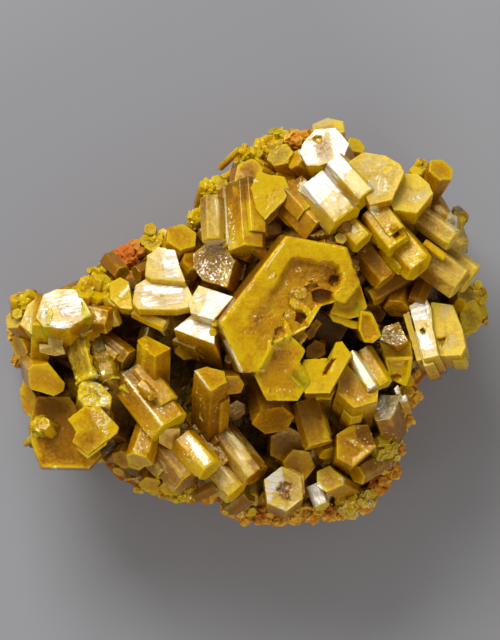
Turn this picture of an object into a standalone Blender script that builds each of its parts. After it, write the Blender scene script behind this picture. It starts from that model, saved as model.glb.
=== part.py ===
"""Pyromorphite on limonite: a hand specimen that lies on its flat sawn back, crystals up."""

import math
import random
from collections import namedtuple

import bmesh
import bpy
from mathutils import Vector, noise

MM = 0.001

# Millimetres. X runs along the specimen, Y across it and Z up from the flat base.
MATRIX_TOP = 9.0
MATRIX_LUMP = 0.9
MATRIX_LUMP_SIZE = 5.0
MATRIX_GRAIN = 0.45
MATRIX_GRAIN_SIZE = 2.4
MATRIX_WAVE_SIZE = 3.4
MATRIX_SPOKES = 56
RIM_SWING = 3.4
RIM_WAVE = 9.0
LEVEL_INSET = 5.0
# Share of the rim's height, and how far the side stands in from the widest outline there.
MATRIX_PROFILE = ((0.0, 2.2), (0.14, 1.0), (0.34, 0.2), (0.56, 0.0), (0.8, 0.3), (1.0, 1.6), (1.0, LEVEL_INSET))
GAP = 0.35

CRUST_FOOT = 7.0
TALLEST = 40.0
CRUST_EDGE_HEIGHT = 11.5
CRUST_INSET = 1.2
CRUST_SINK = 0.6
CRUST_SLOPE = 1.6
CRUST_LUMP = 0.6
CRUST_LUMP_SIZE = 2.6
CRUST_REACH = 0.6
CRUST_SHOULDER = 2.2
CRUST_SPOKES = 54
# Shares of the crust's radius, from its foot and edge inward.
CRUST_RINGS = (1.0, 1.0, 0.97, 0.9, 0.8, 0.69, 0.57, 0.45, 0.32, 0.18)
EDGE_STEP = 0.3

# Small crystals round the flank.
FLANK_COUNT = 46
FLANK_SEED = 11
FLANK_HEIGHTS = (9.8, 14.5)
FLANK_SIZES = (0.6, 1.3)
FLANK_INSETS = (0.2, 1.2)
FLANK_LEANS = (55, 82)
FLANK_SWING = 30
FLANK_LENGTH = 4.5

HONEY = (0.46, 0.29, 0.03, 1)
HONEY_ROUGHNESS = 0.28
RUST = (0.42, 0.17, 0.05, 1)
RUST_ROUGHNESS = 0.85

# Metres and radians: points closer than this are one, and facets flatter than this are one.
SPECK = 0.000002
FLAT_ANGLE = math.radians(1)

# The hollow in the great crystal slopes from its lower left to its upper right.
HOLLOW_EDGE = [(-0.4, 0.2), (5.6, 8.1), (11.3, 7.1), (12.1, 5.0), (10.7, 3.1), (10.8, 0.2), (8.6, -3.0),
               (4.6, -4.2), (3.0, -3.6), (0.6, -4.6)]
HOLLOW_SHALLOW = 0.5
HOLLOW_DEEP = 3.2
HOLLOW_FALL = (0.85, 0.53)
HOLLOW_SPAN = 15.0
SLIT = [(10.95, -4.9), (10.6, -5.1), (9.35, -6.8), (9.75, -6.9)]
SLIT_DEPTH = 1.6

# Outline of the matrix at its widest, from the left tip over the top and back along the lower edge.
MATRIX_OUTLINE = [
    (-29.4, -0.4), (-27.0, 2.3), (-22.0, 4.4), (-17.6, 7.2), (-15.2, 9.2), (-12.0, 9.9), (-7.0, 11.6),
    (-4.8, 15.2), (-1.6, 19.6), (2.5, 21.8), (5.4, 23.7), (9.5, 24.0), (14.0, 20.8), (19.0, 18.0),
    (23.6, 16.4), (25.4, 11.0), (26.6, 5.0), (28.2, 0.6), (26.0, -3.6), (22.6, -6.3), (20.6, -9.2),
    (19.8, -13.0), (18.7, -18.4), (15.8, -22.8), (11.2, -25.0), (3.0, -26.2), (-2.4, -23.8), (-7.6, -22.8),
    (-12.6, -22.4), (-17.2, -19.2), (-21.8, -16.2), (-25.6, -12.6), (-28.0, -6.4), (-29.8, -3.0),
]

# The crust of crystals keeps clear of the edges where bare limonite shows.
BARE_EDGES = [(-15.6, 8.2, 3.6), (5.6, 23.4, 2.6), (3.0, -25.2, 3.6), (12.0, -24.6, 4.0), (-3.0, -23.2, 2.6),
              (18.6, -19.5, 3.0), (-10.0, -22.6, 2.6)]

# Deep hollows between the crystals: place, radius and height of the floor.
HOLLOWS = [(-8.6, -8.2, 3.2, 13.0), (-14.0, -0.9, 2.8, 14.0), (10.8, -1.6, 3.2, 14.5), (2.0, -13.2, 3.0, 13.5),
           (-17.6, -1.6, 2.0, 14.5), (16.2, 2.2, 2.0, 15.5), (-24.0, -4.9, 1.5, 16.0), (-1.2, -11.6, 2.0, 13.5)]
HOLLOW_SLOPE = 2.5

# Shares of a crystal's half width from its axis to each of its six sides.
EVEN = (1, 1, 1, 1, 1, 1)
LONG_SECTION = (1.43, 1.43, 1, 1.43, 1.43, 1)
Crystal = namedtuple("Crystal", "x y z lean heading corner flat length rim pit faces outline")


def prism(x, y, z, lean=50, heading=90, corner=None, flat=1.5, length=6, rim=0.5, pit=0.0, faces=EVEN):
    """A six-sided crystal by the middle of its end face, its lean from upright and the heading it leans to."""
    corner = heading + 30 if corner is None else corner
    return Crystal(x, y, z, lean, heading, corner, flat, length, rim, pit, faces, None)


def outlined(outline, z, lean=20, heading=100, length=8, rim=0.6, pit=0.0):
    """A crystal by the corners of its end face, seen from straight above, and that face's middle height."""
    x = sum(point[0] for point in outline) / len(outline)
    y = sum(point[1] for point in outline) / len(outline)
    return Crystal(x, y, z, lean, heading, 0, 0, length, rim, pit, EVEN, tuple(outline))


# The great hollow crystal, its lower right rim broken away, and what has grown onto it.
GREAT_CRYSTAL = outlined([(-3.6, -0.3), (4.7, 10.5), (12.4, 9.1), (14.1, 4.4), (12.2, 2.0), (10.8, 2.2),
                          (9.1, 1.7), (7.6, -0.9), (5.3, -2.1), (3.4, -3.3), (1.5, -6.6), (-0.9, -6.6)],
                         z=31, lean=6, heading=-15, length=12)
HOOKED_CRYSTAL = outlined([(7.0, -4.9), (10.2, -4.7), (10.9, -2.7), (11.7, -2.6), (13.0, -4.3),
                           (10.2, -9.2), (7.1, -9.2), (6.2, -6.5)],
                          z=29.4, lean=6, heading=100, length=8)
HOPPER = [
    GREAT_CRYSTAL,
    HOOKED_CRYSTAL,
    outlined([(0.8, -6.9), (2.3, -10.1), (6.2, -10.1), (7.7, -7.8), (6.5, -5.3), (7.2, -3.8),
              (5.4, -1.9), (3.5, -2.9), (2.7, -2.8)],
             z=30.2, lean=8, heading=-60, length=11),
    outlined([(10.2, 0.8), (10.8, 2.4), (12.2, 2.6), (14.0, 4.5), (14.9, 1.7), (14.2, 0.5),
              (12.6, 0.1)],
             z=28.6, lean=6, heading=-15, length=7),
    outlined([(9.9, 0.9), (11.7, 0.5), (13.2, -0.1), (14.8, -0.3), (14.9, -1.2), (13.0, -1.1),
              (10.6, -0.2)],
             z=27.9, lean=10, heading=-30, length=5),
    outlined([(14.0, 1.2), (15.5, 0.9), (16.2, -0.6), (16.7, -2.0), (15.6, -2.9), (14.5, -2.8),
              (13.8, -1.2)],
             z=28.4, lean=10, heading=-30, length=8, rim=0.4, pit=0.4),
    prism(7.5, 0.5, 22.5, lean=20, heading=-30, flat=5.5, length=9),
]

# Stepped blocks, frosted plates, hollow twin blocks and lying prisms.
UPPER_RIGHT = [
    prism(11.9, 12.3, 28.6, lean=66, heading=-50, corner=-26, flat=2.35, length=7.2),
    prism(14.6, 14.7, 28.2, lean=67, heading=-49, corner=-22, flat=1.55, length=7.4),
    prism(14.2, 10.1, 27.2, lean=70, heading=-48, corner=-24, flat=1.75, length=5.6, rim=0.5, pit=0.2),
    prism(9.4, 11.4, 25.6, lean=68, heading=-48, corner=-44, flat=2.6, length=6.6),
    prism(6.6, 12.6, 24.4, lean=68, heading=-48, corner=-40, flat=1.7, length=5.0),
    outlined([(12.6, 19.8), (14.4, 21.0), (17.1, 20.6), (19.0, 19.5), (19.6, 18.5), (18.0, 15.0),
              (15.2, 14.3)],
             z=28.0, lean=20, heading=90, length=12, rim=0.7, pit=0.25),
    outlined([(18.6, 18.3), (21.2, 18.3), (22.7, 17.0), (23.2, 15.8), (21.1, 13.3), (18.2, 13.7),
              (17.4, 15.6)],
             z=27.0, lean=21, heading=78, length=12, rim=0.6, pit=0.25),
    prism(24.2, 18.8, 24.0, lean=46, heading=55, corner=75, flat=1.6, length=8),
    prism(21.2, 18.8, 23.6, lean=50, heading=90, flat=0.9, length=5),
    prism(22.2, 19.2, 23.0, lean=40, heading=60, flat=0.7, length=4),
    prism(18.1, 9.7, 28.0, lean=64, heading=-50, corner=-24, flat=1.75, length=6.8, rim=0.5, pit=0.25),
    prism(20.7, 8.1, 27.4, lean=62, heading=-50, corner=-24, flat=2.1, length=8.0, rim=0.5, pit=0.25),
    prism(18.3, 12.2, 28.1, lean=66, heading=-50, corner=-24, flat=1.3, length=4.5),
    prism(17.1, 5.7, 24.5, lean=70, heading=-48, corner=-18, flat=1.7, length=7),
    prism(25.0, 10.1, 24.8, lean=76, heading=-36, corner=-10, flat=1.5, length=6.6),
    prism(24.6, 7.8, 26.1, lean=84, heading=-37, corner=-10, flat=0.45, length=3.2),
    prism(26.1, 5.8, 23.6, lean=80, heading=-31, corner=-19, flat=2.0, length=6.6,
          faces=LONG_SECTION),
    prism(27.5, 5.8, 21.2, lean=80, heading=-31, corner=-19, flat=2.0, length=6.0,
          faces=LONG_SECTION),
    prism(26.8, 8.6, 19.4, lean=74, heading=-35, corner=-8, flat=1.5, length=6),
    prism(26.1, 11.6, 19.4, lean=50, heading=10, corner=60, flat=0.8, length=5),
    prism(26.0, 13.0, 18.6, lean=55, heading=30, corner=60, flat=0.7, length=5),
    prism(25.0, 12.2, 21.4, lean=70, heading=-58, corner=-30, flat=1.0, length=6),
    prism(15.2, 2.9, 22.0, lean=78, heading=-150, corner=-120, flat=1.2, length=7),
    prism(18.6, 1.4, 22.0, lean=50, heading=-100, corner=-60, flat=1.5, length=6),
    prism(15.8, 0.9, 20.0, lean=45, heading=-120, corner=-60, flat=1.4, length=6),
    outlined([(17.0, -0.8), (18.9, -0.2), (20.1, -2.6), (18.6, -3.4), (16.5, -2.5)],
             z=23.5, lean=26, heading=110, length=8),
    outlined([(16.4, -2.6), (18.6, -3.4), (20.4, -2.9), (20.7, -4.5), (17.0, -4.6)],
             z=22.9, lean=16, heading=-100, length=7),
]

# The white cap and the small crystals along the top.
CREST = [
    outlined([(8.4, 23.9), (11.0, 24.1), (12.7, 22.0), (12.0, 20.3), (9.0, 19.2), (7.4, 19.2),
              (6.4, 20.9), (6.9, 22.3)],
             z=25.6, lean=26, heading=113, length=9),
    prism(10.1, 24.1, 21.4, lean=55, heading=95, corner=95, flat=2.0, length=8),
    prism(13.6, 21.9, 21.8, lean=52, heading=50, corner=60, flat=1.2, length=6),
    prism(5.9, 20.2, 22.6, lean=50, heading=140, corner=130, flat=1.3, length=6),
    prism(4.0, 20.7, 21.8, lean=42, heading=120, corner=130, flat=1.6, length=7),
    prism(3.9, 22.8, 18.5, lean=50, heading=100, flat=0.7, length=5),
    prism(0.9, 21.5, 18.0, lean=50, heading=120, flat=0.8, length=5),
    prism(-0.5, 20.8, 17.0, lean=60, heading=140, flat=0.8, length=5),
    prism(2.3, 21.3, 19.8, lean=50, heading=110, flat=0.8, length=5),
    prism(6.9, 23.3, 19.6, lean=50, heading=120, flat=0.8, length=5),
]

# Upright blades and a broad crystal, upper left of the great one.
BLADES = [
    prism(-4.3, 9.8, 26.4, lean=70, heading=-88, corner=-58, flat=1.3, length=5.8),
    prism(-0.1, 8.5, 26.0, lean=68, heading=-86, corner=-78, flat=2.2, length=8.2),
    prism(-2.1, 9.1, 25.8, lean=68, heading=-86, corner=-58, flat=1.0, length=7.8),
    outlined([(1.2, 18.5), (4.6, 17.9), (5.3, 16.2), (4.6, 14.9), (2.1, 12.4), (1.0, 13.8),
              (0.3, 16.4)],
             z=26.4, lean=24, heading=-40, length=10),
    prism(0.1, 18.2, 24.6, lean=30, heading=150, corner=140, flat=1.9, length=9),
    prism(4.8, 17.8, 21.6, lean=40, heading=40, corner=40, flat=1.3, length=6),
    prism(-3.3, 17.0, 21.0, lean=55, heading=130, flat=0.9, length=6),
    prism(-5.2, 16.0, 19.6, lean=60, heading=150, flat=0.7, length=5),
    prism(-5.9, 14.0, 18.6, lean=60, heading=160, flat=0.7, length=5),
    prism(4.4, 12.2, 22.8, lean=40, heading=-50, corner=-20, flat=2.0, length=8),
    prism(1.0, 12.6, 22.0, lean=40, heading=-60, corner=-20, flat=1.8, length=7),
]

# The banded fan, the sparkling rough crystal and the white plates.
BRIDGE = [
    outlined([(-14.5, 2.2), (-14.1, 4.4), (-12.4, 5.4), (-7.8, 4.9), (-7.0, 3.2), (-6.8, 1.7),
              (-9.0, 1.2), (-13.8, 1.3)],
             z=26.2, lean=26, heading=98, length=8),
    outlined([(-12.9, 5.6), (-12.7, 8.1), (-11.2, 9.0), (-9.1, 8.8), (-8.4, 6.5), (-7.7, 4.7),
              (-12.2, 5.1)],
             z=25.2, lean=32, heading=98, length=8),
    prism(-8.3, 10.4, 22.8, lean=38, heading=70, corner=82, flat=1.85, length=8),
    prism(-6.9, 7.4, 23.6, lean=40, heading=60, corner=70, flat=1.3, length=7),
    prism(-11.9, 9.6, 19.6, lean=45, heading=110, flat=1.1, length=7),
    outlined([(-6.9, 8.3), (-5.4, 9.5), (-2.8, 9.3), (-1.6, 7.4), (-2.6, 4.0), (-5.7, 4.9),
              (-6.9, 6.6)],
             z=25.4, lean=22, heading=150, length=8),
    outlined([(-6.2, 4.4), (-1.7, 2.9), (-4.3, -0.1), (-7.2, 0.8), (-7.5, 2.2)],
             z=27.4, lean=26, heading=113, length=8),
    outlined([(-9.4, -1.2), (-6.8, 0.9), (-4.2, 0.0), (-4.1, -3.1), (-6.6, -2.2)],
             z=26.7, lean=26, heading=110, length=7),
    prism(-10.3, -0.7, 25.0, lean=74, heading=-25, corner=0, flat=0.8, length=4.5),
    prism(-12.0, 0.2, 23.6, lean=70, heading=-150, corner=-120, flat=0.8, length=4.5),
    prism(-7.4, -3.8, 22.0, lean=45, heading=-80, corner=-50, flat=1.6, length=7),
    prism(-5.1, -4.0, 22.6, lean=50, heading=-75, corner=-50, flat=1.2, length=6),
]

# The white block at the left end.
LEFT_BLOCK = [
    outlined([(-26.6, 0.3), (-25.7, 3.2), (-24.0, 3.9), (-21.6, 3.9), (-20.3, 2.2), (-19.5, 0.6),
              (-22.6, -1.1), (-25.6, -0.9)],
             z=25.0, lean=28, heading=102, length=9),
    outlined([(-28.6, -0.6), (-27.7, 1.9), (-26.0, 3.3), (-26.6, 0.0), (-27.0, -1.9)],
             z=23.0, lean=34, heading=125, length=8),
    prism(-29.2, 0.3, 18.4, lean=52, heading=140, flat=1.5, length=7),
    prism(-30.1, 0.0, 16.4, lean=60, heading=175, flat=0.8, length=5),
    prism(-17.3, 0.0, 23.4, lean=72, heading=-12, corner=10, flat=1.6, length=6.5),
    prism(-20.4, 3.6, 24.0, lean=45, heading=80, flat=1.1, length=6),
    prism(-18.8, 3.3, 23.6, lean=50, heading=60, flat=1.0, length=6),
    prism(-18.3, 4.9, 22.0, lean=45, heading=100, flat=1.1, length=6),
    prism(-16.0, 3.2, 24.0, lean=42, heading=120, corner=130, flat=1.7, length=8),
    prism(-16.6, 6.1, 20.4, lean=55, heading=100, flat=0.8, length=5),
    prism(-19.2, 5.6, 19.6, lean=60, heading=100, flat=0.8, length=5),
    prism(-26.8, -4.2, 21.6, lean=80, heading=-172, corner=-150, flat=1.25, length=5),
    prism(-25.9, -1.6, 23.4, lean=60, heading=-95, corner=-65, flat=1.0, length=5),
    prism(-23.9, -2.2, 22.8, lean=60, heading=-88, corner=-58, flat=1.3, length=6),
    prism(-28.8, -3.6, 16.6, lean=60, heading=200, flat=1.6, length=7),
    prism(-27.6, -5.6, 17.0, lean=50, heading=200, flat=1.6, length=6),
]

# The broad plate at the lower left.
OLIVE_PLATE = [
    outlined([(-27.6, -13.4), (-27.2, -15.5), (-26.1, -18.5), (-20.0, -18.7), (-18.4, -16.9),
              (-20.0, -12.6), (-22.5, -9.6), (-26.5, -9.6)],
             z=19.4, lean=7, heading=90, length=7),
    prism(-27.3, -9.8, 18.6, lean=18, heading=170, corner=20, flat=1.9, length=6),
    prism(-25.2, -7.6, 22.8, lean=20, heading=-50, corner=-20, flat=2.05, length=8),
    prism(-26.0, -13.1, 21.4, lean=30, heading=160, flat=0.95, length=4),
]

# Ragged green-yellow growths.
SKELETAL = [
    prism(-20.0, -5.9, 24.6, lean=70, heading=-68, corner=-42, flat=1.6, length=5.5),
    outlined([(-21.2, -8.0), (-20.2, -7.3), (-18.4, -8.0), (-17.0, -9.6), (-17.2, -10.9),
              (-20.6, -10.9), (-21.3, -9.8)],
             z=24.6, lean=30, heading=80, length=7),
    outlined([(-22.6, -12.4), (-20.5, -10.8), (-18.5, -10.8), (-16.1, -13.4), (-16.3, -14.1),
              (-17.6, -15.1), (-20.0, -16.9), (-22.0, -15.2), (-21.5, -14.0)],
             z=26.0, lean=16, heading=95, length=9),
    prism(-17.2, -7.9, 22.6, lean=68, heading=-72, corner=-42, flat=1.4, length=7.5),
    prism(-15.0, -5.0, 21.2, lean=70, heading=-35, corner=-8, flat=1.4, length=6),
    prism(-17.8, -4.2, 19.6, lean=60, heading=-60, corner=-8, flat=1.6, length=6),
]

# The ridged crystal with its leg, and the three-sided one over it.
WEDGE = [
    prism(-10.1, -13.4, 24.4, lean=75, heading=-50, corner=-58, flat=2.1, length=8.6),
    prism(-12.9, -16.4, 22.6, lean=62, heading=-113, corner=-92, flat=1.55, length=5.5),
    outlined([(-11.0, -13.0), (-7.1, -12.8), (-6.8, -13.8), (-8.8, -15.3), (-9.7, -16.5),
              (-11.2, -15.2)],
             z=24.6, lean=18, heading=-70, length=7),
    prism(-11.6, -9.6, 25.2, lean=72, heading=-48, corner=-20, flat=0.8, length=4),
    prism(-15.6, -9.4, 22.6, lean=60, heading=-130, corner=-100, flat=1.3, length=5),
    outlined([(-13.9, -2.5), (-12.8, -1.9), (-9.6, -3.5), (-11.6, -4.6), (-13.1, -3.6)],
             z=24.8, lean=50, heading=88, length=7.5),
]

# The stepped brown pillar.
PILLAR = [
    prism(-4.6, -7.4, 26.5, lean=45, heading=85, corner=80, flat=1.9, length=10),
    prism(-1.9, -8.0, 25.8, lean=45, heading=85, corner=100, flat=1.1, length=5),
]

# Striated bars along the lower edge.
BOTTOM = [
    prism(-4.7, -18.8, 24.0, lean=72, heading=-47, corner=-30, flat=1.7, length=5.4),
    prism(-7.2, -20.0, 21.4, lean=76, heading=-50, corner=-38, flat=2.5, length=6.5),
    prism(-1.5, -21.8, 21.5, lean=74, heading=-47, corner=-22, flat=1.6, length=5.4),
    prism(1.0, -19.6, 22.0, lean=72, heading=-52, corner=-26, flat=1.6, length=7.4),
    prism(-2.6, -18.2, 20.5, lean=72, heading=-50, corner=-20, flat=1.4, length=6),
    prism(-14.0, -17.8, 20.4, lean=35, heading=-110, flat=1.2, length=6),
    prism(-12.2, -20.8, 16.5, lean=50, heading=-100, flat=1.4, length=6),
    prism(-9.7, -21.2, 16.8, lean=50, heading=-90, flat=1.4, length=6),
    prism(-15.8, -17.6, 16.5, lean=50, heading=-120, flat=1.4, length=6),
    prism(0.2, -22.6, 18.0, lean=60, heading=-90, flat=1.4, length=6),
]

# Hexagons and blades.
LOWER_RIGHT = [
    prism(13.7, -9.2, 27.5, lean=26, heading=60, corner=60, flat=2.5, length=10, rim=0.5, pit=0.2),
    prism(15.5, -8.0, 27.0, lean=72, heading=-60, corner=-40, flat=1.15, length=5.6),
    prism(16.9, -7.4, 25.4, lean=72, heading=-62, corner=-30, flat=1.1, length=5.5),
    outlined([(17.0, -4.7), (20.7, -4.6), (20.4, -7.0), (19.8, -8.4), (17.7, -7.4)],
             z=23.4, lean=14, heading=-60, length=8, rim=0.5, pit=0.5),
    prism(17.8, -11.4, 21.2, lean=48, heading=-85, corner=-50, flat=1.8, length=7),
    prism(19.2, -9.6, 21.0, lean=40, heading=-10, flat=1.0, length=6),
    outlined([(11.1, -14.3), (12.9, -13.1), (15.1, -13.1), (16.1, -15.8), (13.1, -18.4), (11.1, -17.3)],
             z=24.5, lean=14, heading=95, length=9, rim=0.5, pit=0.3),
    prism(9.0, -14.4, 23.5, lean=62, heading=-67, corner=-40, flat=1.9, length=7.5),
    prism(3.2, -12.6, 22.5, lean=50, heading=-80, corner=-50, flat=2.4, length=7),
    prism(5.0, -15.8, 19.0, lean=15, heading=-60, flat=2.2, length=6),
    prism(6.4, -18.2, 19.5, lean=15, heading=-40, flat=1.9, length=6),
    outlined([(2.0, -20.0), (4.2, -18.3), (6.7, -19.5), (6.9, -22.4), (4.8, -24.0), (2.4, -23.0)],
             z=23.2, lean=20, heading=50, length=8, rim=0.5, pit=0.2),
    outlined([(8.6, -19.0), (10.2, -18.2), (11.9, -19.6), (12.0, -20.6), (9.9, -21.7), (8.6, -20.9)],
             z=20.8, lean=24, heading=150, length=6),
    prism(8.9, -22.9, 18.8, lean=72, heading=-65, corner=-32, flat=1.1, length=4),
    prism(13.6, -19.4, 19.6, lean=55, heading=-150, flat=1.3, length=6),
    prism(10.2, -16.8, 20.5, lean=62, heading=-70, flat=1.3, length=6),
    prism(17.2, -14.8, 19.0, lean=40, heading=30, flat=1.0, length=6),
    prism(17.0, -17.2, 18.6, lean=45, heading=-20, flat=1.1, length=6),
    prism(16.0, -18.6, 17.0, lean=50, heading=-60, flat=0.9, length=6),
    prism(12.2, -22.4, 16.2, lean=45, heading=-60, flat=1.0, length=6),
    prism(14.0, -22.3, 15.0, lean=50, heading=-40, flat=0.9, length=6),
]

# The hollow block and the lumps behind it.
RIGHT_EDGE = [
    outlined([(20.2, 1.2), (22.2, 3.0), (25.7, 1.9), (26.9, -1.2), (27.3, -3.4), (26.7, -4.5),
              (21.9, -5.0)],
             z=23.6, lean=14, heading=125, length=6, rim=0.6, pit=0.3),
    outlined([(19.4, 0.7), (20.2, 1.2), (21.9, -5.0), (21.1, -5.2)],
             z=22.6, lean=14, heading=125, length=6),
    outlined([(26.1, 4.2), (28.2, 3.7), (29.0, 2.0), (29.6, 0.2), (28.8, -1.5), (27.0, -2.0)],
             z=18.0, lean=24, heading=10, length=6),
    prism(29.4, 1.3, 16.2, lean=50, heading=20, flat=1.1, length=5),
    prism(27.4, 3.2, 19.4, lean=40, heading=60, flat=1.2, length=5),
    prism(24.8, -5.2, 17.6, lean=50, heading=-80, flat=1.0, length=5),
    prism(22.6, -5.8, 17.0, lean=50, heading=-90, flat=0.9, length=5),
]

CLUSTERS = (HOPPER, UPPER_RIGHT, CREST, BLADES, BRIDGE, LEFT_BLOCK, OLIVE_PLATE,
            SKELETAL, WEDGE, PILLAR, BOTTOM, LOWER_RIGHT, RIGHT_EDGE)


def directions(crystal):
    """The crystal's long axis and two directions across it."""
    lean = math.radians(crystal.lean)
    heading = math.radians(crystal.heading)
    axis = Vector((math.sin(lean) * math.cos(heading), math.sin(lean) * math.sin(heading), math.cos(lean)))
    down = Vector((math.cos(lean) * math.cos(heading), math.cos(lean) * math.sin(heading), -math.sin(lean)))
    side = Vector((-math.sin(heading), math.cos(heading), 0))
    return axis, down, side


def on_end_plane(crystal, x, y):
    """The point of the end face's plane that is straight above x, y."""
    axis = directions(crystal)[0]
    fall = (axis.x * (x - crystal.x) + axis.y * (y - crystal.y)) / axis.z
    return Vector((x, y, crystal.z - fall))


def mean_reach(crystal):
    """Mean distance of an outlined end face's corners from its middle, seen from above."""
    spans = [math.hypot(x - crystal.x, y - crystal.y) for x, y in crystal.outline]
    return sum(spans) / len(spans)


def end_corners(crystal, inward=0.0):
    """Corners of the end face, anticlockwise from outside, each face moved inward by a distance."""
    axis, down, side = directions(crystal)
    middle = Vector((crystal.x, crystal.y, crystal.z))
    corners = []
    if crystal.outline:
        share = 1 - inward / mean_reach(crystal)
        for x, y in crystal.outline:
            point = on_end_plane(crystal, x, y)
            corners.append(middle + (point - middle) * share)
    else:
        for k in range(6):
            first = math.radians(crystal.corner - crystal.heading + 30 + 60 * k)
            second = first + math.radians(60)
            near = crystal.flat * crystal.faces[k] - inward
            far = crystal.flat * crystal.faces[(k + 1) % 6] - inward
            across = (near * math.sin(second) - far * math.sin(first)) / math.sin(second - first)
            along = (far * math.cos(first) - near * math.cos(second)) / math.sin(second - first)
            corners.append(middle + down * across + side * along)
    turn = Vector()
    for k, corner in enumerate(corners):
        turn += (corners[k - 1] - middle).cross(corner - middle)
    if turn.dot(axis) < 0:
        corners.reverse()
    return corners


def solid(name, top, bottom, collection):
    """A closed solid between two rings of points, given in millimetres."""
    shape = bmesh.new()
    upper = [shape.verts.new(point * MM) for point in top]
    lower = [shape.verts.new(point * MM) for point in bottom]
    shape.faces.new(upper)
    shape.faces.new(list(reversed(lower)))
    for k in range(len(top)):
        shape.faces.new((lower[k - 1], lower[k], upper[k], upper[k - 1]))
    mesh = bpy.data.meshes.new(name)
    shape.to_mesh(mesh)
    shape.free()
    made = bpy.data.objects.new(name, mesh)
    collection.objects.link(made)
    return made


def apply_boolean(target, operation, operands):
    """Join or cut a solid with others, which are used up."""
    tools = bpy.data.collections.new("tools")
    bpy.context.scene.collection.children.link(tools)
    for operand in operands:
        for holder in list(operand.users_collection):
            holder.objects.unlink(operand)
        tools.objects.link(operand)
    change = target.modifiers.new("change", "BOOLEAN")
    change.operation = operation
    change.solver = "EXACT"
    change.operand_type = "COLLECTION"
    change.collection = tools
    bpy.context.view_layer.update()
    evaluated = target.evaluated_get(bpy.context.evaluated_depsgraph_get())
    mesh = bpy.data.meshes.new_from_object(evaluated)
    target.modifiers.remove(change)
    target.data = mesh
    for operand in list(tools.objects):
        bpy.data.objects.remove(operand)
    bpy.data.collections.remove(tools)
    return target


def plain_crystal(crystal, collection):
    """One crystal with a flat end."""
    axis = directions(crystal)[0]
    top = end_corners(crystal)
    return solid("crystal", top, [point - axis * crystal.length for point in top], collection)


def hollow_crystal(crystal, collection):
    """A crystal with a shallow hollow of even depth in its end."""
    axis = directions(crystal)[0]
    mouth = [point + axis for point in end_corners(crystal, crystal.rim)]
    floor = [point - axis * (1 + crystal.pit) for point in mouth]
    made = plain_crystal(crystal, collection)
    return apply_boolean(made, "DIFFERENCE", [solid("hollow", mouth, floor, collection)])


def great_crystal(crystal, collection):
    """The great crystal: a rim round a floor that falls away to the upper right."""
    axis = directions(crystal)[0]
    start = Vector(HOLLOW_EDGE[0])
    fall = Vector(HOLLOW_FALL)
    mouth = []
    floor = []
    for x, y in HOLLOW_EDGE:
        point = on_end_plane(crystal, x, y)
        share = max(0.0, (Vector((x, y)) - start).dot(fall)) / HOLLOW_SPAN
        mouth.append(point + axis)
        floor.append(point - axis * (HOLLOW_SHALLOW + (HOLLOW_DEEP - HOLLOW_SHALLOW) * share))
    mouth.reverse()
    floor.reverse()
    made = plain_crystal(crystal, collection)
    return apply_boolean(made, "DIFFERENCE", [solid("hollow", mouth, floor, collection)])


def hooked_crystal(crystal, collection):
    """The hooked rim piece below the great crystal, with a narrow slit between its two plates."""
    axis = directions(crystal)[0]
    mouth = [on_end_plane(crystal, x, y) + axis for x, y in reversed(SLIT)]
    floor = [point - axis * (1 + SLIT_DEPTH) for point in mouth]
    made = plain_crystal(crystal, collection)
    return apply_boolean(made, "DIFFERENCE", [solid("slit", mouth, floor, collection)])


def grow(crystal, collection):
    """The solid of any crystal in the lists."""
    if crystal is GREAT_CRYSTAL:
        return great_crystal(crystal, collection)
    if crystal is HOOKED_CRYSTAL:
        return hooked_crystal(crystal, collection)
    if crystal.pit:
        return hollow_crystal(crystal, collection)
    return plain_crystal(crystal, collection)


def reach(outline, angle):
    """How far the outline lies from the specimen's middle in one direction."""
    ray = Vector((math.cos(angle), math.sin(angle)))
    farthest = 0.0
    for k, (x, y) in enumerate(outline):
        start = Vector(outline[k - 1])
        edge = Vector((x, y)) - start
        turn = ray.x * edge.y - ray.y * edge.x
        if abs(turn) < 1e-9:
            continue
        distance = (start.x * edge.y - start.y * edge.x) / turn
        share = (start.x * ray.y - start.y * ray.x) / turn
        if distance > farthest and -1e-9 <= share <= 1 + 1e-9:
            farthest = distance
    return farthest


def lump(x, y, z, size, seed):
    """Height of rounded lumps about size apart, from -1 in the creases to 1 on their backs."""
    near = noise.voronoi(Vector((x / size + seed, y / size - seed, z / size)))[0][0]
    return 1 - 2 * min(1.0, near)


def rings_solid(name, rings, floor_z, top_z, collection):
    """A closed solid from rings of points, lowest first, closed below and above by a fan."""
    shape = bmesh.new()
    levels = [[shape.verts.new(point * MM) for point in ring] for ring in rings]
    bottom = shape.verts.new(Vector((0, 0, floor_z)) * MM)
    top = shape.verts.new(Vector((0, 0, top_z)) * MM)
    count = len(levels[0])
    for k in range(count):
        after = (k + 1) % count
        shape.faces.new((bottom, levels[0][after], levels[0][k]))
        shape.faces.new((top, levels[-1][k], levels[-1][after]))
        for low, high in zip(levels, levels[1:]):
            shape.faces.new((low[k], low[after], high[after], high[k]))
    bmesh.ops.triangulate(shape, faces=shape.faces[:])
    bmesh.ops.recalc_face_normals(shape, faces=shape.faces[:])
    mesh = bpy.data.meshes.new(name)
    shape.to_mesh(mesh)
    shape.free()
    made = bpy.data.objects.new(name, mesh)
    collection.objects.link(made)
    return made


def swell(solid_object, distance):
    """Move a solid's skin outward by a distance."""
    shape = bmesh.new()
    shape.from_mesh(solid_object.data)
    shape.normal_update()
    for corner in shape.verts:
        corner.co += corner.normal * distance * MM
    shape.to_mesh(solid_object.data)
    shape.free()
    return solid_object


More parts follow.
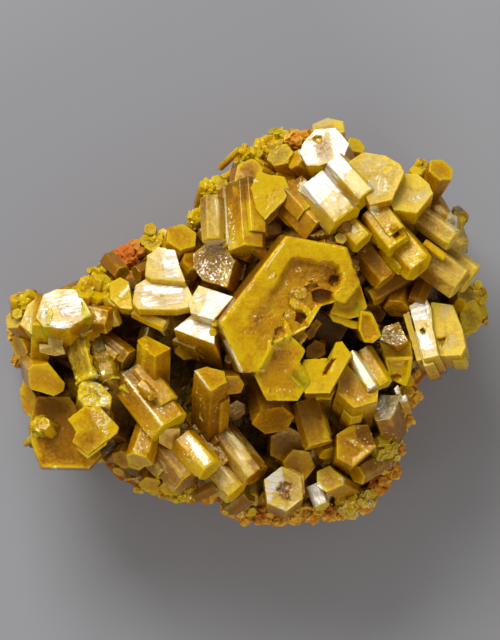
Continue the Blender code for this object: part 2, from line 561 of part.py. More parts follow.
def matrix_solid(name, collection):
    """The limonite: sawn flat below, craggy round its sides, nearly level under the crust."""
    rings = []
    for share, inset in MATRIX_PROFILE:
        ring = []
        for k in range(MATRIX_SPOKES):
            angle = 2 * math.pi * k / MATRIX_SPOKES
            radius = reach(MATRIX_OUTLINE, angle) - inset
            x = radius * math.cos(angle)
            y = radius * math.sin(angle)
            z = share * (MATRIX_TOP + RIM_SWING * noise.noise(Vector((x / RIM_WAVE, y / RIM_WAVE, 4))))
            if inset == LEVEL_INSET:
                z = MATRIX_TOP
            elif share:
                radius += MATRIX_LUMP * lump(x, y, z, MATRIX_LUMP_SIZE, 3)
                radius += MATRIX_GRAIN * lump(x, y, z, MATRIX_GRAIN_SIZE, 8)
                z += MATRIX_LUMP * lump(x, y, z, MATRIX_WAVE_SIZE, 21)
            ring.append(Vector((radius * math.cos(angle), radius * math.sin(angle), z)))
        rings.append(ring)
    return rings_solid(name, rings, 0.0, MATRIX_TOP, collection)


def crust_height(x, y, crystals):
    """Height of the massive crust: always below the middles of the crystals that rise from it."""
    height = TALLEST
    for crystal in crystals:
        half_width = mean_reach(crystal) if crystal.outline else crystal.flat
        axis = directions(crystal)[0]
        middle = Vector((crystal.x, crystal.y, crystal.z)) - axis * crystal.length * CRUST_REACH
        apart = max(0.0, math.hypot(x - middle.x, y - middle.y) - half_width / 2)
        height = min(height, middle.z - CRUST_SINK + CRUST_SLOPE * apart)
    for hollow_x, hollow_y, radius, floor in HOLLOWS:
        apart = max(0.0, math.hypot(x - hollow_x, y - hollow_y) - radius)
        height = min(height, floor + HOLLOW_SLOPE * apart)
    return height


def crust_edge():
    """Radius of the crust in each direction, drawn in where bare limonite shows."""
    edge = []
    for k in range(CRUST_SPOKES):
        angle = 2 * math.pi * k / CRUST_SPOKES
        radius = reach(MATRIX_OUTLINE, angle) - CRUST_INSET
        for bare_x, bare_y, clear in BARE_EDGES:
            while math.hypot(radius * math.cos(angle) - bare_x, radius * math.sin(angle) - bare_y) < clear:
                radius -= EDGE_STEP
        edge.append(radius)
    return [(edge[k - 1] + 2 * edge[k] + edge[(k + 1) % CRUST_SPOKES]) / 4 for k in range(CRUST_SPOKES)]


def crust_solid(name, crystals, collection):
    """The massive crust of intergrown crystals that all the others rise from."""
    edge = crust_edge()
    rings = []
    for level, share in enumerate(CRUST_RINGS):
        ring = []
        for k, outer in enumerate(edge):
            angle = 2 * math.pi * k / CRUST_SPOKES
            radius = outer * share
            x = radius * math.cos(angle)
            y = radius * math.sin(angle)
            z = CRUST_FOOT
            if level:
                z = min(crust_height(x, y, crystals), CRUST_EDGE_HEIGHT + (outer - radius) * CRUST_SHOULDER)
                z = max(z + CRUST_LUMP * lump(x, y, z, CRUST_LUMP_SIZE, 5), CRUST_FOOT + CRUST_SINK)
            ring.append(Vector((x, y, z)))
        rings.append(ring)
    return rings_solid(name, rings, CRUST_FOOT, crust_height(0, 0, crystals), collection)


def drop_crumbs(shape):
    """Only the largest closed shell is kept; a crumb cut loose at the bed is dropped."""
    left = set(shape.verts)
    shells = []
    while left:
        shell = []
        front = [left.pop()]
        while front:
            corner = front.pop()
            shell.append(corner)
            near = [edge.other_vert(corner) for edge in corner.link_edges]
            fresh = [other for other in near if other in left]
            left.difference_update(fresh)
            front.extend(fresh)
        shells.append(shell)
    shells.sort(key=len)
    for shell in shells[:-1]:
        bmesh.ops.delete(shape, geom=shell, context="VERTS")


def flank_crystals():
    """Small crystals round the edge of the crust, leaning outward, clear of the bare limonite."""
    draw = random.Random(FLANK_SEED)
    made = []
    for k in range(FLANK_COUNT):
        angle = 2 * math.pi * (k + draw.uniform(-0.4, 0.4)) / FLANK_COUNT
        radius = reach(MATRIX_OUTLINE, angle) - draw.uniform(*FLANK_INSETS)
        x = radius * math.cos(angle)
        y = radius * math.sin(angle)
        z = draw.uniform(*FLANK_HEIGHTS)
        flat = draw.uniform(*FLANK_SIZES)
        heading = math.degrees(angle) + draw.uniform(-FLANK_SWING, FLANK_SWING)
        lean = draw.uniform(*FLANK_LEANS)
        corner = draw.uniform(0, 60)
        if all(math.hypot(x - bare_x, y - bare_y) > clear for bare_x, bare_y, clear in BARE_EDGES):
            made.append(prism(x, y, z, lean, heading, corner, flat, FLANK_LENGTH))
    return made


def tidy_mesh(made):
    """Flat facets dissolved to their true outlines and specks merged away."""
    shape = bmesh.new()
    shape.from_mesh(made.data)
    drop_crumbs(shape)
    bmesh.ops.remove_doubles(shape, verts=shape.verts[:], dist=SPECK)
    bmesh.ops.dissolve_degenerate(shape, edges=shape.edges[:], dist=SPECK)
    bmesh.ops.dissolve_limit(shape, angle_limit=FLAT_ANGLE, verts=shape.verts[:], edges=shape.edges[:])
    bmesh.ops.triangulate(shape, faces=shape.faces[:])
    shape.to_mesh(made.data)
    shape.free()


def finish(name, color, roughness):
    """A plain finish: colour and roughness."""
    material = bpy.data.materials.new(name)
    material.use_nodes = True
    shader = material.node_tree.nodes["Principled BSDF"]
    shader.inputs["Base Color"].default_value = color
    shader.inputs["Roughness"].default_value = roughness
    shader.inputs["Metallic"].default_value = 0.0
    return material


def build():
    """The two pieces: the matrix, and the crust of crystals that lies on it."""
    for old in list(bpy.data.objects):
        bpy.data.objects.remove(old)
    specimen = bpy.data.collections.new("pyromorphite_specimen")
    bpy.context.scene.collection.children.link(specimen)
    crystals = [crystal for cluster in CLUSTERS for crystal in cluster]
    made = crust_solid("pyromorphite_crystals", crystals, specimen)
    apply_boolean(made, "UNION", [grow(crystal, specimen) for crystal in crystals + flank_crystals()])
    apply_boolean(made, "DIFFERENCE", [swell(matrix_solid("bed", specimen), GAP)])
    tidy_mesh(made)
    made.data.materials.clear()
    made.data.materials.append(finish("honey_pyromorphite", HONEY, HONEY_ROUGHNESS))
    matrix = matrix_solid("limonite_matrix", specimen)
    matrix.data.materials.append(finish("limonite", RUST, RUST_ROUGHNESS))


build()
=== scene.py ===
"""The looks of a pyromorphite specimen: honey-yellow crystals on limonite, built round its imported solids."""

import math
import random
from collections import namedtuple

import bmesh
import bpy
import numpy as np
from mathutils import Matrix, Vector


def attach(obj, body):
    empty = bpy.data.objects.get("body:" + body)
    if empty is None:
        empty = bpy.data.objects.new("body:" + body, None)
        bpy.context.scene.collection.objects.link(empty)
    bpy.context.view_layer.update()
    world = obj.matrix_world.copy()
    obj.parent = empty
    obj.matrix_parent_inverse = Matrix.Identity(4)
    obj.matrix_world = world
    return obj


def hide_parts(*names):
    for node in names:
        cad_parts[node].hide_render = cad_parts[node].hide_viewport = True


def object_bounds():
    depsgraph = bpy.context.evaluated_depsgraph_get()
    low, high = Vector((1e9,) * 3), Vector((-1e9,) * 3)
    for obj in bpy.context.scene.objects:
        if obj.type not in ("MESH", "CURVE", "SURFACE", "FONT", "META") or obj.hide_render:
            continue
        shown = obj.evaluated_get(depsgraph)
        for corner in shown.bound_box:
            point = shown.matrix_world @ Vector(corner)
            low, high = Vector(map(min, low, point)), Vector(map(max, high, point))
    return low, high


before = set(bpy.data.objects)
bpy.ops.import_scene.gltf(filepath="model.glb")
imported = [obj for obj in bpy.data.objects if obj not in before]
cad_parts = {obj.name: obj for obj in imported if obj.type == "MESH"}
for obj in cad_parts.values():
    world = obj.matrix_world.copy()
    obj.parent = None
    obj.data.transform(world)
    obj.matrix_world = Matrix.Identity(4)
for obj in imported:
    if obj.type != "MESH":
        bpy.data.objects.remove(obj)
CAD_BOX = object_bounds()

# Millimetres, as in the part: X along the specimen, Y across it, Z up from the flat base.
MM = 0.001
# Every piece keeps this far inside the solids' box.
BOX_MARGIN = 0.02
# Edges that turn by more than this are sharp.
SHARP_ANGLE = 34

# The finishes that a crystal's end and sides can have. Tone runs from amber brown, 0, to bright yellow, 1;
# relief is the height of its roughness, grain that roughness's size, lines and steps the height of its
# growth lines along and across the crystal.
Finish = namedtuple("Finish", "material tone relief grain lines steps")
FINISHES = {
    "h": Finish("honey", 0.5, 0.012, 0.6, 0.004, 0.02),
    "y": Finish("honey", 0.8, 0.012, 0.6, 0.004, 0.02),
    "b": Finish("honey", 0.1, 0.03, 0.6, 0.01, 0.03),
    "w": Finish("satin", 0.55, 0.012, 0.5, 0.012, 0.02),
    "f": Finish("frosted", 0.55, 0.01, 0.4, 0.008, 0.02),
    "s": Finish("sparkling", 0.3, 0.03, 0.35, 0.02, 0.04),
    "o": Finish("olive", 0.45, 0.06, 0.4, 0.02, 0.05),
}
# How far in from its edges a crystal is painted brighter: a painted glow standing in for light through its thin
# edges.
EDGE_GLOW = 0.45
# Roughness over this is made of broken facets.
COARSE = 0.04
# Side faces have this share of an end face's tone, and of the glow at its edges: the sides are painted darker,
# painted shade, and their painted glow is weaker.
SIDE_TONE = 0.78
SIDE_GLOW = 0.55
# The depths at which a hollow and a side have their full painted shade.
HOLLOW_SHADE_DEPTH = 9
ROOT_SHADE_DEPTH = 7
# Terraces of an end face: how far in they begin, how far that wanders, and how much each one drops.
TERRACES = ((0.8, 0.3), (1.6, 0.5))
TERRACE_DROP = 0.04
# Height of the faint rim that an end face has.
RIM_HEIGHT = 0.05
# Each crystal's growth coordinates are shifted this far from the last one's, so that no two have the same lines.
GROWTH_GAP = 3.0
# How deep the chips along the edges are, by material.
CHIPS = {"honey": 0.13, "satin": 0.13, "frosted": 0.14, "sparkling": 0.1, "olive": 0.2}
MATERIAL_ORDER = tuple(CHIPS)

# A crystal's tone is added to that of its finishes; where it is lowered for a crystal that lies in shade, that is
# painted shade.
Crystal = namedtuple("Crystal", "x y z lean heading corner flat length look outline bend rim pit lines steps"
                                " rough tone", defaults=(None, 5, 0.5, 0.0, 0.0, 0.0, 0.0, 0.0))


def prism(x, y, z, lean, heading, corner, flat, length, look, **more):
    """A six-sided crystal: the middle of its end face, its lean from upright, the heading it leans to, the way
    one of its corners points, half its width, its length, and the finishes of its end and sides."""
    return Crystal(x, y, z, lean, heading, corner, flat, length, look, **more)


def outlined(outline, z, lean, heading, length, look, bend=3, **more):
    """A crystal by the corners of its end face, seen from straight above, and that face's middle height."""
    x = sum(point[0] for point in outline) / len(outline)
    y = sum(point[1] for point in outline) / len(outline)
    return Crystal(x, y, z, lean, heading, 0, 0, length, look, tuple(outline), bend, **more)


def bar(x, y, z, section, lean, heading, length, look, **more):
    """A lying crystal by one point of its end face and that face's corners, sideways and upwards of the point."""
    slope, way = math.radians(lean), math.radians(heading)
    outline = [(x - aside * math.sin(way) - up * math.cos(slope) * math.cos(way),
                y + aside * math.cos(way) - up * math.cos(slope) * math.sin(way)) for aside, up in section]
    height = z + math.sin(slope) * sum(up for aside, up in section) / len(section)
    return outlined(outline, height, lean, heading, length, look, **more)


def spot(x, y, long, short, turn=0):
    """An oval outline, for a patch on the surface."""
    bend = math.radians(turn)
    return [(x + long * math.cos(a) * math.cos(bend) - short * math.sin(a) * math.sin(bend),
             y + long * math.cos(a) * math.sin(bend) + short * math.sin(a) * math.cos(bend))
            for a in (math.radians(30 * k) for k in range(12))]


# The crust: the heights of its foot and its edge, how far it lies inside the matrix's outline and under the
# crystals, how steeply it falls between them and at its edge, and how finely it is made.
CRUST_FOOT = 7.0
TALLEST = 40.0
CRUST_EDGE_HEIGHT = 11.5
CRUST_INSET = 1.2
CRUST_SINK = 0.6
CRUST_SLOPE = 1.6
CRUST_REACH = 0.6
CRUST_SHOULDER = 2.2
CRUST_FINE_SPOKES = 260
CRUST_FINE_RINGS = 70
EDGE_STEP = 0.1

# Small crystals round the flank: how many, and the ranges of their height, size, inset and lean.
FLANK_COUNT = 46
FLANK_SEED = 11
FLANK_HEIGHTS = (9.8, 14.5)
FLANK_SIZES = (0.6, 1.3)
FLANK_INSETS = (0.2, 1.2)
FLANK_LEANS = (55, 82)
FLANK_SWING = 30
FLANK_LENGTH = 4.5

# Smaller ones in a band below and between those: how many, and the ranges of their place, size and lean.
BAND_COUNT = 260
BAND_SEED = 29
BAND_HEIGHTS = (8.6, 15.0)
BAND_INSET = 0.4
BAND_SIZES = (0.3, 0.85)
BAND_LEANS = (35, 88)
BAND_SWING = 50

# Small crystals in the cavities, their tones lowered: painted shade.
CAVITY_COUNT = 260
CAVITY_SEED = 41
CAVITY_INSET = 2.5
CAVITY_RISE = (0.2, 1.6)
CAVITY_SIZES = (0.4, 1.1)
CAVITY_LEANS = (10, 75)
CAVITY_LENGTH = 3.0
CAVITY_SHADE_TONES = (-0.5, -0.15)

# Clusters of small crystals, each on a granular mass. Where y is below DRUSE_EDGE they are given paler finishes and
# white flecks: painted light and glints.
CLUMP_SIZES = (0.3, 0.75)
CLUMP_LENGTH = 4.5
CLUMP_SWING = 80
CLUMP_TONES = (-0.3, 0.25)
DRUSE_EDGE = -15
DRUSE_PAINTED_GLINTS = 0.3
LUMP_SINK = 0.9
# Place, spread, the way they face and how many.
CLUMPS = [
    (17.4, -16.0, 18.6, 1.8, -10, 10), (16.4, -18.4, 17.6, 1.6, -40, 8), (12.6, -22.8, 16.4, 2.2, -60, 12),
    (14.6, -22.6, 15.4, 1.6, -50, 7), (9.6, -24.0, 14.6, 1.6, -80, 7), (2.6, 21.6, 20.2, 2.4, 110, 12),
    (-0.4, 21.0, 17.6, 1.4, 120, 7), (4.2, 22.8, 18.4, 1.4, 100, 7), (-4.6, 16.6, 19.6, 1.8, 140, 9),
    (-6.4, 12.6, 19.2, 1.4, 150, 6), (-11.6, 10.0, 19.2, 1.8, 110, 9), (-18.6, 5.4, 20.6, 2.0, 100, 10),
    (-20.0, 3.9, 23.6, 1.8, 90, 9), (-17.6, 4.0, 23.4, 1.6, 80, 7), (-28.0, 2.0, 19.6, 1.8, 130, 9),
    (22.0, 19.0, 23.2, 1.2, 80, 5), (26.2, 12.4, 19.2, 1.2, 20, 5), (28.6, 3.4, 18.0, 1.4, 30, 7),
    (29.2, 0.4, 16.0, 1.4, 0, 5), (18.6, -11.2, 20.4, 1.2, -30, 6), (19.6, -8.4, 21.4, 1.0, -20, 5),
    (-0.6, -23.6, 15.6, 2.0, -90, 8), (-8.0, -21.6, 15.6, 2.0, -90, 7), (-13.0, -20.4, 16.0, 1.6, -100, 6),
    (-21.6, -2.6, 20.5, 1.2, -60, 5), (-26.0, -13.1, 21.6, 0.9, 120, 7), (6.4, 21.8, 19.8, 1.2, 120, 5),
]
# Lumps of bare limonite: place, size and how red, 0 where nothing is said.
LIMONITE_LUMPS = [
    (-10.8, -21.2, 12.6, 0.6), (-5.0, -21.8, 13.6, 0.8), (-2.2, -23.6, 13.8, 0.8), (-0.4, -24.3, 13.4, 0.9),
    (1.6, -24.6, 13.2, 0.8), (3.6, -25.0, 13.0, 0.9), (5.8, -24.6, 13.8, 0.8), (8.0, -24.4, 14.4, 0.8),
    (9.8, -24.2, 15.0, 0.8), (12.0, -23.8, 14.6, 0.8), (14.6, -23.0, 14.6, 0.9), (16.6, -20.6, 15.4, 0.9),
    (18.2, -19.0, 14.8, 0.7), (18.8, -16.0, 15.4, 0.6), (19.4, -12.6, 17.6, 0.8), (20.6, -9.6, 17.0, 0.7),
    (-15.4, 7.8, 19.6, 1.0, 0.8), (-13.8, 8.9, 18.8, 0.8, 0.6), (-16.6, 6.6, 18.6, 0.8, 0.7), (5.8, 22.7, 20.8, 0.6),
    (7.4, 22.9, 20.4, 0.5), (-29.2, -1.6, 15.6, 0.7), (-28.6, -4.8, 14.0, 0.8), (-27.6, 1.8, 17.0, 0.7),
]

# The hollow in the great crystal slopes from its lower left to its upper right.
HOLLOW_EDGE = [(-0.4, 0.2), (5.6, 8.1), (11.3, 7.1), (12.1, 5.0), (10.7, 3.1), (10.8, 0.2), (8.6, -3.0),
               (4.6, -4.2), (3.0, -3.6), (0.6, -4.6)]
HOLLOW_DEEP = 3.2
HOLLOW_FALL = (0.85, 0.53)
HOLLOW_SPAN = 15.0
GREAT_MIDDLE = (5.6, 3.4, 31.2)
# A point of the great crystal's end, and how much that end climbs with x and y.
GREAT_POINT = (6.38, 0.84, 31)
GREAT_CLIMB = (-0.1016, 0.0272)

# Outline of the matrix at its widest, from the left tip over the top and back along the lower edge.
MATRIX_OUTLINE = [
    (-29.4, -0.4), (-27.0, 2.3), (-22.0, 4.4), (-17.6, 7.2), (-15.2, 9.2), (-12.0, 9.9), (-7.0, 11.6),
    (-4.8, 15.2), (-1.6, 19.6), (2.5, 21.8), (5.4, 23.7), (9.5, 24.0), (14.0, 20.8), (19.0, 18.0),
    (23.6, 16.4), (25.4, 11.0), (26.6, 5.0), (28.2, 0.6), (26.0, -3.6), (22.6, -6.3), (20.6, -9.2),
    (19.8, -13.0), (18.7, -18.4), (15.8, -22.8), (11.2, -25.0), (3.0, -26.2), (-2.4, -23.8), (-7.6, -22.8),
    (-12.6, -22.4), (-17.2, -19.2), (-21.8, -16.2), (-25.6, -12.6), (-28.0, -6.4), (-29.8, -3.0),
]

# The crust of crystals keeps clear of the edges where bare limonite shows.
BARE_EDGES = [(-15.6, 8.2, 3.6), (5.6, 23.4, 2.6), (3.0, -25.2, 3.6), (12.0, -24.6, 4.0), (-3.0, -23.2, 2.6),
              (18.6, -19.5, 3.0), (-10.0, -22.6, 2.6)]

# Deep hollows between the crystals: place, radius and height of the floor.
HOLLOWS = [(-8.6, -8.2, 3.2, 13.0), (-14.0, -0.9, 2.8, 14.0), (10.8, -1.6, 3.2, 14.5), (2.0, -13.2, 3.0, 13.5),
           (-17.6, -1.6, 2.0, 14.5), (16.2, 2.2, 2.0, 15.5), (-24.0, -4.9, 1.5, 16.0), (-1.2, -11.6, 2.0, 13.5)]
HOLLOW_SLOPE = 2.5


# The great hollow crystal, its lower right rim broken away.
GREAT_CRYSTAL = outlined([(-3.6, -0.3), (4.7, 10.5), (12.4, 9.1), (14.1, 4.4), (12.2, 2), (10.8, 2.2), (9.1, 1.7),
                         (7.6, -0.9), (5.3, -2.1), (3.4, -3.3), (1.5, -6.6), (-0.9, -6.6)], 31, 6, -15, 12, "hb")

# The crystals in the order of the pieces that they make.
CLUSTERS = {
    # The great crystal and what has grown onto it.
    "great_crystal_group": [
        GREAT_CRYSTAL,
        outlined([(7, -4.9), (10.2, -4.7), (10.9, -2.7), (11.7, -2.6), (13, -4.3), (10.2, -9.2), (7.1, -9.2),
                 (6.2, -6.5)], 29.4, 6, 100, 8, "yb"),
        outlined([(0.8, -6.9), (2.3, -10.1), (6.2, -10.1), (7.7, -7.8), (6.5, -5.3), (7.2, -3.8), (5.4, -1.9),
                 (3.5, -2.9), (2.7, -2.8)], 30.2, 8, -60, 11, "hb"),
        outlined([(10.2, 0.8), (10.8, 2.4), (12.2, 2.6), (14, 4.5), (14.9, 1.7), (14.2, 0.5), (12.6, 0.1)], 28.6, 6,
                 -15, 7, "hb"),
        outlined([(9.9, 0.9), (11.7, 0.5), (13.2, -0.1), (14.8, -0.3), (14.9, -1.2), (13, -1.1), (10.6, -0.2)],
                 27.9, 10, -30, 5, "yb"),
        outlined([(14, 1.2), (15.5, 0.9), (16.2, -0.6), (16.7, -2), (15.6, -2.9), (14.5, -2.8), (13.8, -1.2)], 28.4,
                 10, -30, 8, "hh", rim=0.4, pit=0.4),
        prism(7.5, 0.5, 22.5, 20, -30, 0, 5.5, 9, "bb"),
    ],
    # Stepped blocks, frosted plates, hollow twin blocks and lying prisms.
    "stepped_blocks": [
        bar(10.8, 12.2, 30.4, [(0, 0), (3, -0.3), (3.5, -2.2), (2.2, -4.2), (-1, -4.2), (-1.6, -2)], 67, -50, 6.6,
            "yw", bend=5),
        bar(13.8, 15.1, 29.6, [(0, 0), (2, -0.2), (2.5, -1.5), (1.5, -3), (-0.8, -3), (-1, -1.4)], 67, -49, 6.2,
            "yw", bend=5),
        bar(13.5, 9.4, 28.7, [(0, 0), (2.1, -0.2), (2.4, -1.6), (1.6, -2.9), (-0.6, -2.9), (-0.9, -1.5)], 74, -47,
            4.6, "yy"),
        prism(9.4, 11.4, 25.6, 68, -48, -44, 2.6, 6.6, "hh"),
        prism(6.6, 12.6, 24.4, 68, -48, -40, 1.7, 5, "hh"),
        outlined([(12.6, 19.8), (14.4, 21), (17.1, 20.6), (19, 19.5), (19.6, 18.5), (18, 15), (15.2, 14.3)], 28, 20,
                 90, 12, "fh"),
        outlined([(18.6, 18.3), (21.2, 18.3), (22.7, 17), (23.2, 15.8), (21.1, 13.3), (18.2, 13.7), (17.4, 15.6)],
                 27, 21, 78, 12, "fy", tone=0.12),
        prism(24.2, 18.8, 24, 46, 55, 75, 1.6, 8, "yh", tone=-0.28),
        prism(21.2, 18.8, 23.6, 50, 90, 120, 0.9, 5, "yy"),
        prism(22.2, 19.2, 23, 40, 60, 90, 0.7, 4, "fy"),
        bar(17.6, 8.9, 29, [(0, 0), (2.7, -0.1), (3, -1.2), (2, -3.4), (-0.6, -3.4), (-0.8, -1.6)], 72, -53, 5.7,
            "yy", steps=0.05),
        bar(20.3, 6.3, 28, [(0, 0), (2.7, 0), (3.1, -1.3), (1.8, -3.4), (-0.6, -3.4), (-1.3, -1.7)], 68, -50, 5.2,
            "yy", bend=10),
        bar(16.6, 4.8, 25.6, [(0, 0), (1.9, 0.1), (2.4, -1.2), (1.5, -2.8), (-0.6, -2.8), (-1.2, -1.4)], 78, -52,
            6.6, "hh", tone=-0.25, lines=0.04),
        bar(25, 9.5, 26, [(0, 0), (1.9, 0), (2.3, -1.2), (1.4, -2.6), (-0.4, -2.6), (-0.8, -1.2)], 77, -36, 5.8,
            "yf"),
        prism(24.6, 7.8, 26.1, 84, -37, -10, 0.45, 3.2, "yy"),
        bar(25.8, 4, 25.6, [(0, 0), (2.7, -0.1), (3, -1.5), (2.2, -3.2), (-0.6, -3.2), (-1.4, -1.6)], 80, -36, 5.8,
            "ff"),
        bar(27, 4.2, 23.4, [(0, 0), (3, -0.2), (3.4, -1.6), (2.4, -3), (-0.4, -3), (-0.8, -1.6)], 80, -36, 5.4,
            "ff", tone=0.1),
        prism(26.8, 8.6, 19.4, 74, -35, -8, 1.5, 6, "yf"),
        outlined([(25.2, 13.4), (26.3, 13.1), (26.1, 11.1), (25.5, 11)], 20.6, 26, 113, 5, "wf"),
        outlined([(26.2, 12), (26.9, 12.3), (26.8, 10.6), (26.3, 10.5)], 19, 26, 113, 5, "wf"),
        prism(25, 12.2, 21.4, 70, -58, -30, 1, 6, "hh"),
        prism(15.2, 2.9, 22, 78, -150, -120, 1.2, 7, "bb"),
        prism(18.6, 1.4, 22, 50, -100, -60, 1.5, 6, "bb"),
        prism(15.8, 0.9, 20, 45, -120, -60, 1.4, 6, "bb"),
        outlined([(17, -0.8), (18.9, -0.2), (20.1, -2.6), (18.6, -3.4), (16.5, -2.5)], 23.5, 26, 110, 8, "sb"),
        outlined([(16.4, -2.6), (18.6, -3.4), (20.4, -2.9), (20.7, -4.5), (17, -4.6)], 22.9, 16, -100, 7, "hh"),
    ],
    # The white cap and the small crystals along the top.
    "crest_crystals": [
        outlined([(8.4, 23.9), (11, 24.1), (12.7, 22), (12, 20.3), (9, 19.2), (7.4, 19.2), (6.4, 20.9),
                 (6.9, 22.3)], 25.6, 26, 113, 9, "wy"),
        prism(10.1, 24.1, 21.4, 55, 95, 95, 2, 8, "fy"),
        prism(13.6, 21.9, 21.8, 52, 50, 60, 1.2, 6, "yy"),
        prism(5.9, 20.2, 22.6, 50, 140, 130, 1.3, 6, "hh"),
        prism(4, 20.7, 21.8, 42, 120, 130, 1.6, 7, "oh"),
        prism(3.9, 22.8, 18.5, 50, 100, 130, 0.7, 5, "oy"),
        prism(0.9, 21.5, 18, 50, 120, 150, 0.8, 5, "yy"),
        prism(-0.5, 20.8, 17, 60, 140, 170, 0.8, 5, "oo"),
        prism(2.3, 21.3, 19.8, 50, 110, 140, 0.8, 5, "yo"),
        prism(6.9, 23.3, 19.6, 50, 120, 150, 0.8, 5, "oo"),
    ],
    # Upright blades and a broad crystal, upper left of the great one.
    "upright_blades": [
        prism(-4.3, 9.8, 26.4, 70, -88, -58, 1.3, 5.8, "yf", lines=0.06),
        prism(-0.1, 8.5, 26, 68, -86, -78, 2.2, 8.2, "yy"),
        prism(-2.1, 9.1, 25.8, 68, -86, -58, 1, 7.8, "yf", lines=0.05),
        outlined([(1.2, 18.5), (4.6, 17.9), (5.3, 16.2), (4.6, 14.9), (2.1, 12.4), (1, 13.8), (0.3, 16.4)], 26.6, 9,
                 100, 10, "yh", tone=0.15),
        prism(0.1, 18.2, 24.6, 30, 150, 140, 1.9, 9, "hh"),
        prism(4.8, 17.8, 21.6, 40, 40, 40, 1.3, 6, "bb"),
        prism(-3.3, 17, 21, 55, 130, 160, 0.9, 6, "oo"),
        prism(-5.2, 16, 19.6, 60, 150, 180, 0.7, 5, "oo"),
        prism(-5.9, 14, 18.6, 60, 160, 190, 0.7, 5, "fo"),
        prism(4.4, 12.2, 22.8, 40, -50, -20, 2, 8, "bb"),
        prism(1, 12.6, 22, 40, -60, -20, 1.8, 7, "bb"),
    ],
    # The banded fan, the sparkling rough crystal and the white plates.
    "banded_fan": [
        outlined([(-14.5, 2.2), (-14.1, 4.4), (-12.4, 5.4), (-7.8, 4.9), (-7, 3.2), (-6.8, 1.7), (-9, 1.2),
                 (-13.8, 1.3)], 26.2, 26, 98, 1.5, "wy"),
        outlined([(-12.9, 5.6), (-12.7, 8.1), (-11.2, 9), (-9.1, 8.8), (-8.4, 6.5), (-7.7, 4.7), (-12.2, 5.1)],
                 25.2, 32, 98, 3, "wy"),
        prism(-8.3, 10.4, 22.8, 38, 70, 82, 1.85, 8, "hh"),
        prism(-6.9, 7.4, 23.6, 40, 60, 70, 1.3, 7, "bh"),
        prism(-11.9, 9.6, 19.6, 45, 110, 140, 1.1, 7, "oo"),
        outlined([(-6.9, 8.3), (-5.4, 9.5), (-2.8, 9.3), (-1.6, 7.4), (-2.6, 4), (-5.7, 4.9), (-6.9, 6.6)], 25.4,
                 22, 150, 8, "sb"),
        outlined([(-6.2, 4.4), (-1.7, 2.9), (-4.3, -0.1), (-7.2, 0.8), (-7.5, 2.2)], 27.4, 26, 113, 8, "wy"),
        outlined([(-9.4, -1.2), (-6.8, 0.9), (-4.2, 0), (-4.1, -3.1), (-6.6, -2.2)], 26.7, 26, 110, 7, "wh"),
        prism(-10.3, -0.7, 25, 74, -25, 0, 0.8, 4.5, "wy"),
        prism(-12, 0.2, 23.6, 70, -150, -120, 0.8, 4.5, "hb"),
        prism(-7.4, -3.8, 22, 45, -80, -50, 1.6, 7, "hh", tone=-0.12),
        prism(-5.1, -4, 22.6, 50, -75, -50, 1.2, 6, "hh", tone=-0.12),
    ],
    # The white block at the left end.
    "left_block": [
        outlined([(-26.6, 0.3), (-25.7, 3.2), (-24, 3.9), (-21.6, 3.9), (-20.3, 2.2), (-19.5, 0.6), (-22.6, -1.1),
                 (-25.6, -0.9)], 25, 28, 102, 9, "wy"),
        outlined([(-26.3, 0), (-25.8, 1.7), (-24.9, 1.9), (-24.3, 0.9), (-24.7, -0.8), (-25.4, -0.9)], 25.3, 28,
                 102, 2, "yy"),
        outlined([(-21, 2.4), (-20.3, 2.2), (-19.5, 0.7), (-20.7, 0)], 25.5, 28, 102, 2, "yy"),
        outlined([(-28.6, -0.6), (-27.7, 1.9), (-26, 3.3), (-26.6, 0), (-27, -1.9)], 23, 34, 125, 8, "fy",
                 steps=0.15),
        prism(-29.2, 0.3, 18.4, 52, 140, 170, 1.5, 7, "fh"),
        prism(-30.1, 0, 16.4, 60, 175, 205, 0.8, 5, "fh"),
        prism(-17.3, 0, 23.4, 72, -12, 10, 1.6, 6.5, "hh", tone=-0.15),
        prism(-20.4, 3.6, 24, 45, 80, 110, 1.1, 6, "yy"),
        prism(-18.8, 3.3, 23.6, 50, 60, 90, 1, 6, "yy"),
        prism(-18.3, 4.9, 22, 45, 100, 130, 1.1, 6, "oo"),
        outlined([(-17.4, 4.6), (-16, 5.4), (-14.9, 4.8), (-14.5, 2.6), (-14.4, 1.3), (-16, 1.4), (-17.3, 2.6)],
                 24.4, 14, 110, 3, "yy"),
        prism(-16.6, 6.1, 20.4, 55, 100, 130, 0.8, 5, "oo"),
        prism(-19.2, 5.6, 19.6, 60, 100, 130, 0.8, 5, "oo"),
        outlined([(-27, -0.5), (-25, -0.7), (-24.9, -2.6), (-25, -5.2), (-27.3, -5), (-27.2, -2.5)], 23, 48, -95, 5,
                 "hh", tone=0.05),
        outlined([(-25.1, -1), (-22.6, -1.2), (-22.9, -2.2), (-25.1, -2.1)], 24.4, 36, -88, 4, "fh", tone=-0.25),
        outlined([(-25.1, -1.9), (-23, -2), (-23.2, -3.4), (-25.1, -3.5)], 23.5, 30, -88, 4, "fh", tone=-0.4),
        outlined([(-26.2, -3.1), (-23.3, -3), (-22.8, -4.3), (-24.2, -4.6), (-26.1, -4.1)], 23, 25, -80, 4, "fb",
                 tone=-0.3),
        prism(-28.8, -3.6, 16.6, 60, 200, 230, 1.6, 7, "hb"),
        prism(-27.6, -5.6, 17, 50, 200, 230, 1.6, 6, "hb"),
    ],
    # The broad plate at the lower left.
    "olive_plate": [
        outlined([(-27.6, -13.4), (-27.2, -15.5), (-26.1, -18.5), (-20, -18.7), (-18.4, -16.9), (-20, -12.6),
                 (-22.5, -9.6), (-26.5, -9.6)], 19.4, 3, 90, 7, "hh", tone=-0.32, rough=0.045),
        outlined([(-28.8, -8.8), (-28.2, -7.4), (-27.3, -8.6), (-26.6, -9.6), (-26.7, -11.9), (-27.4, -12.4),
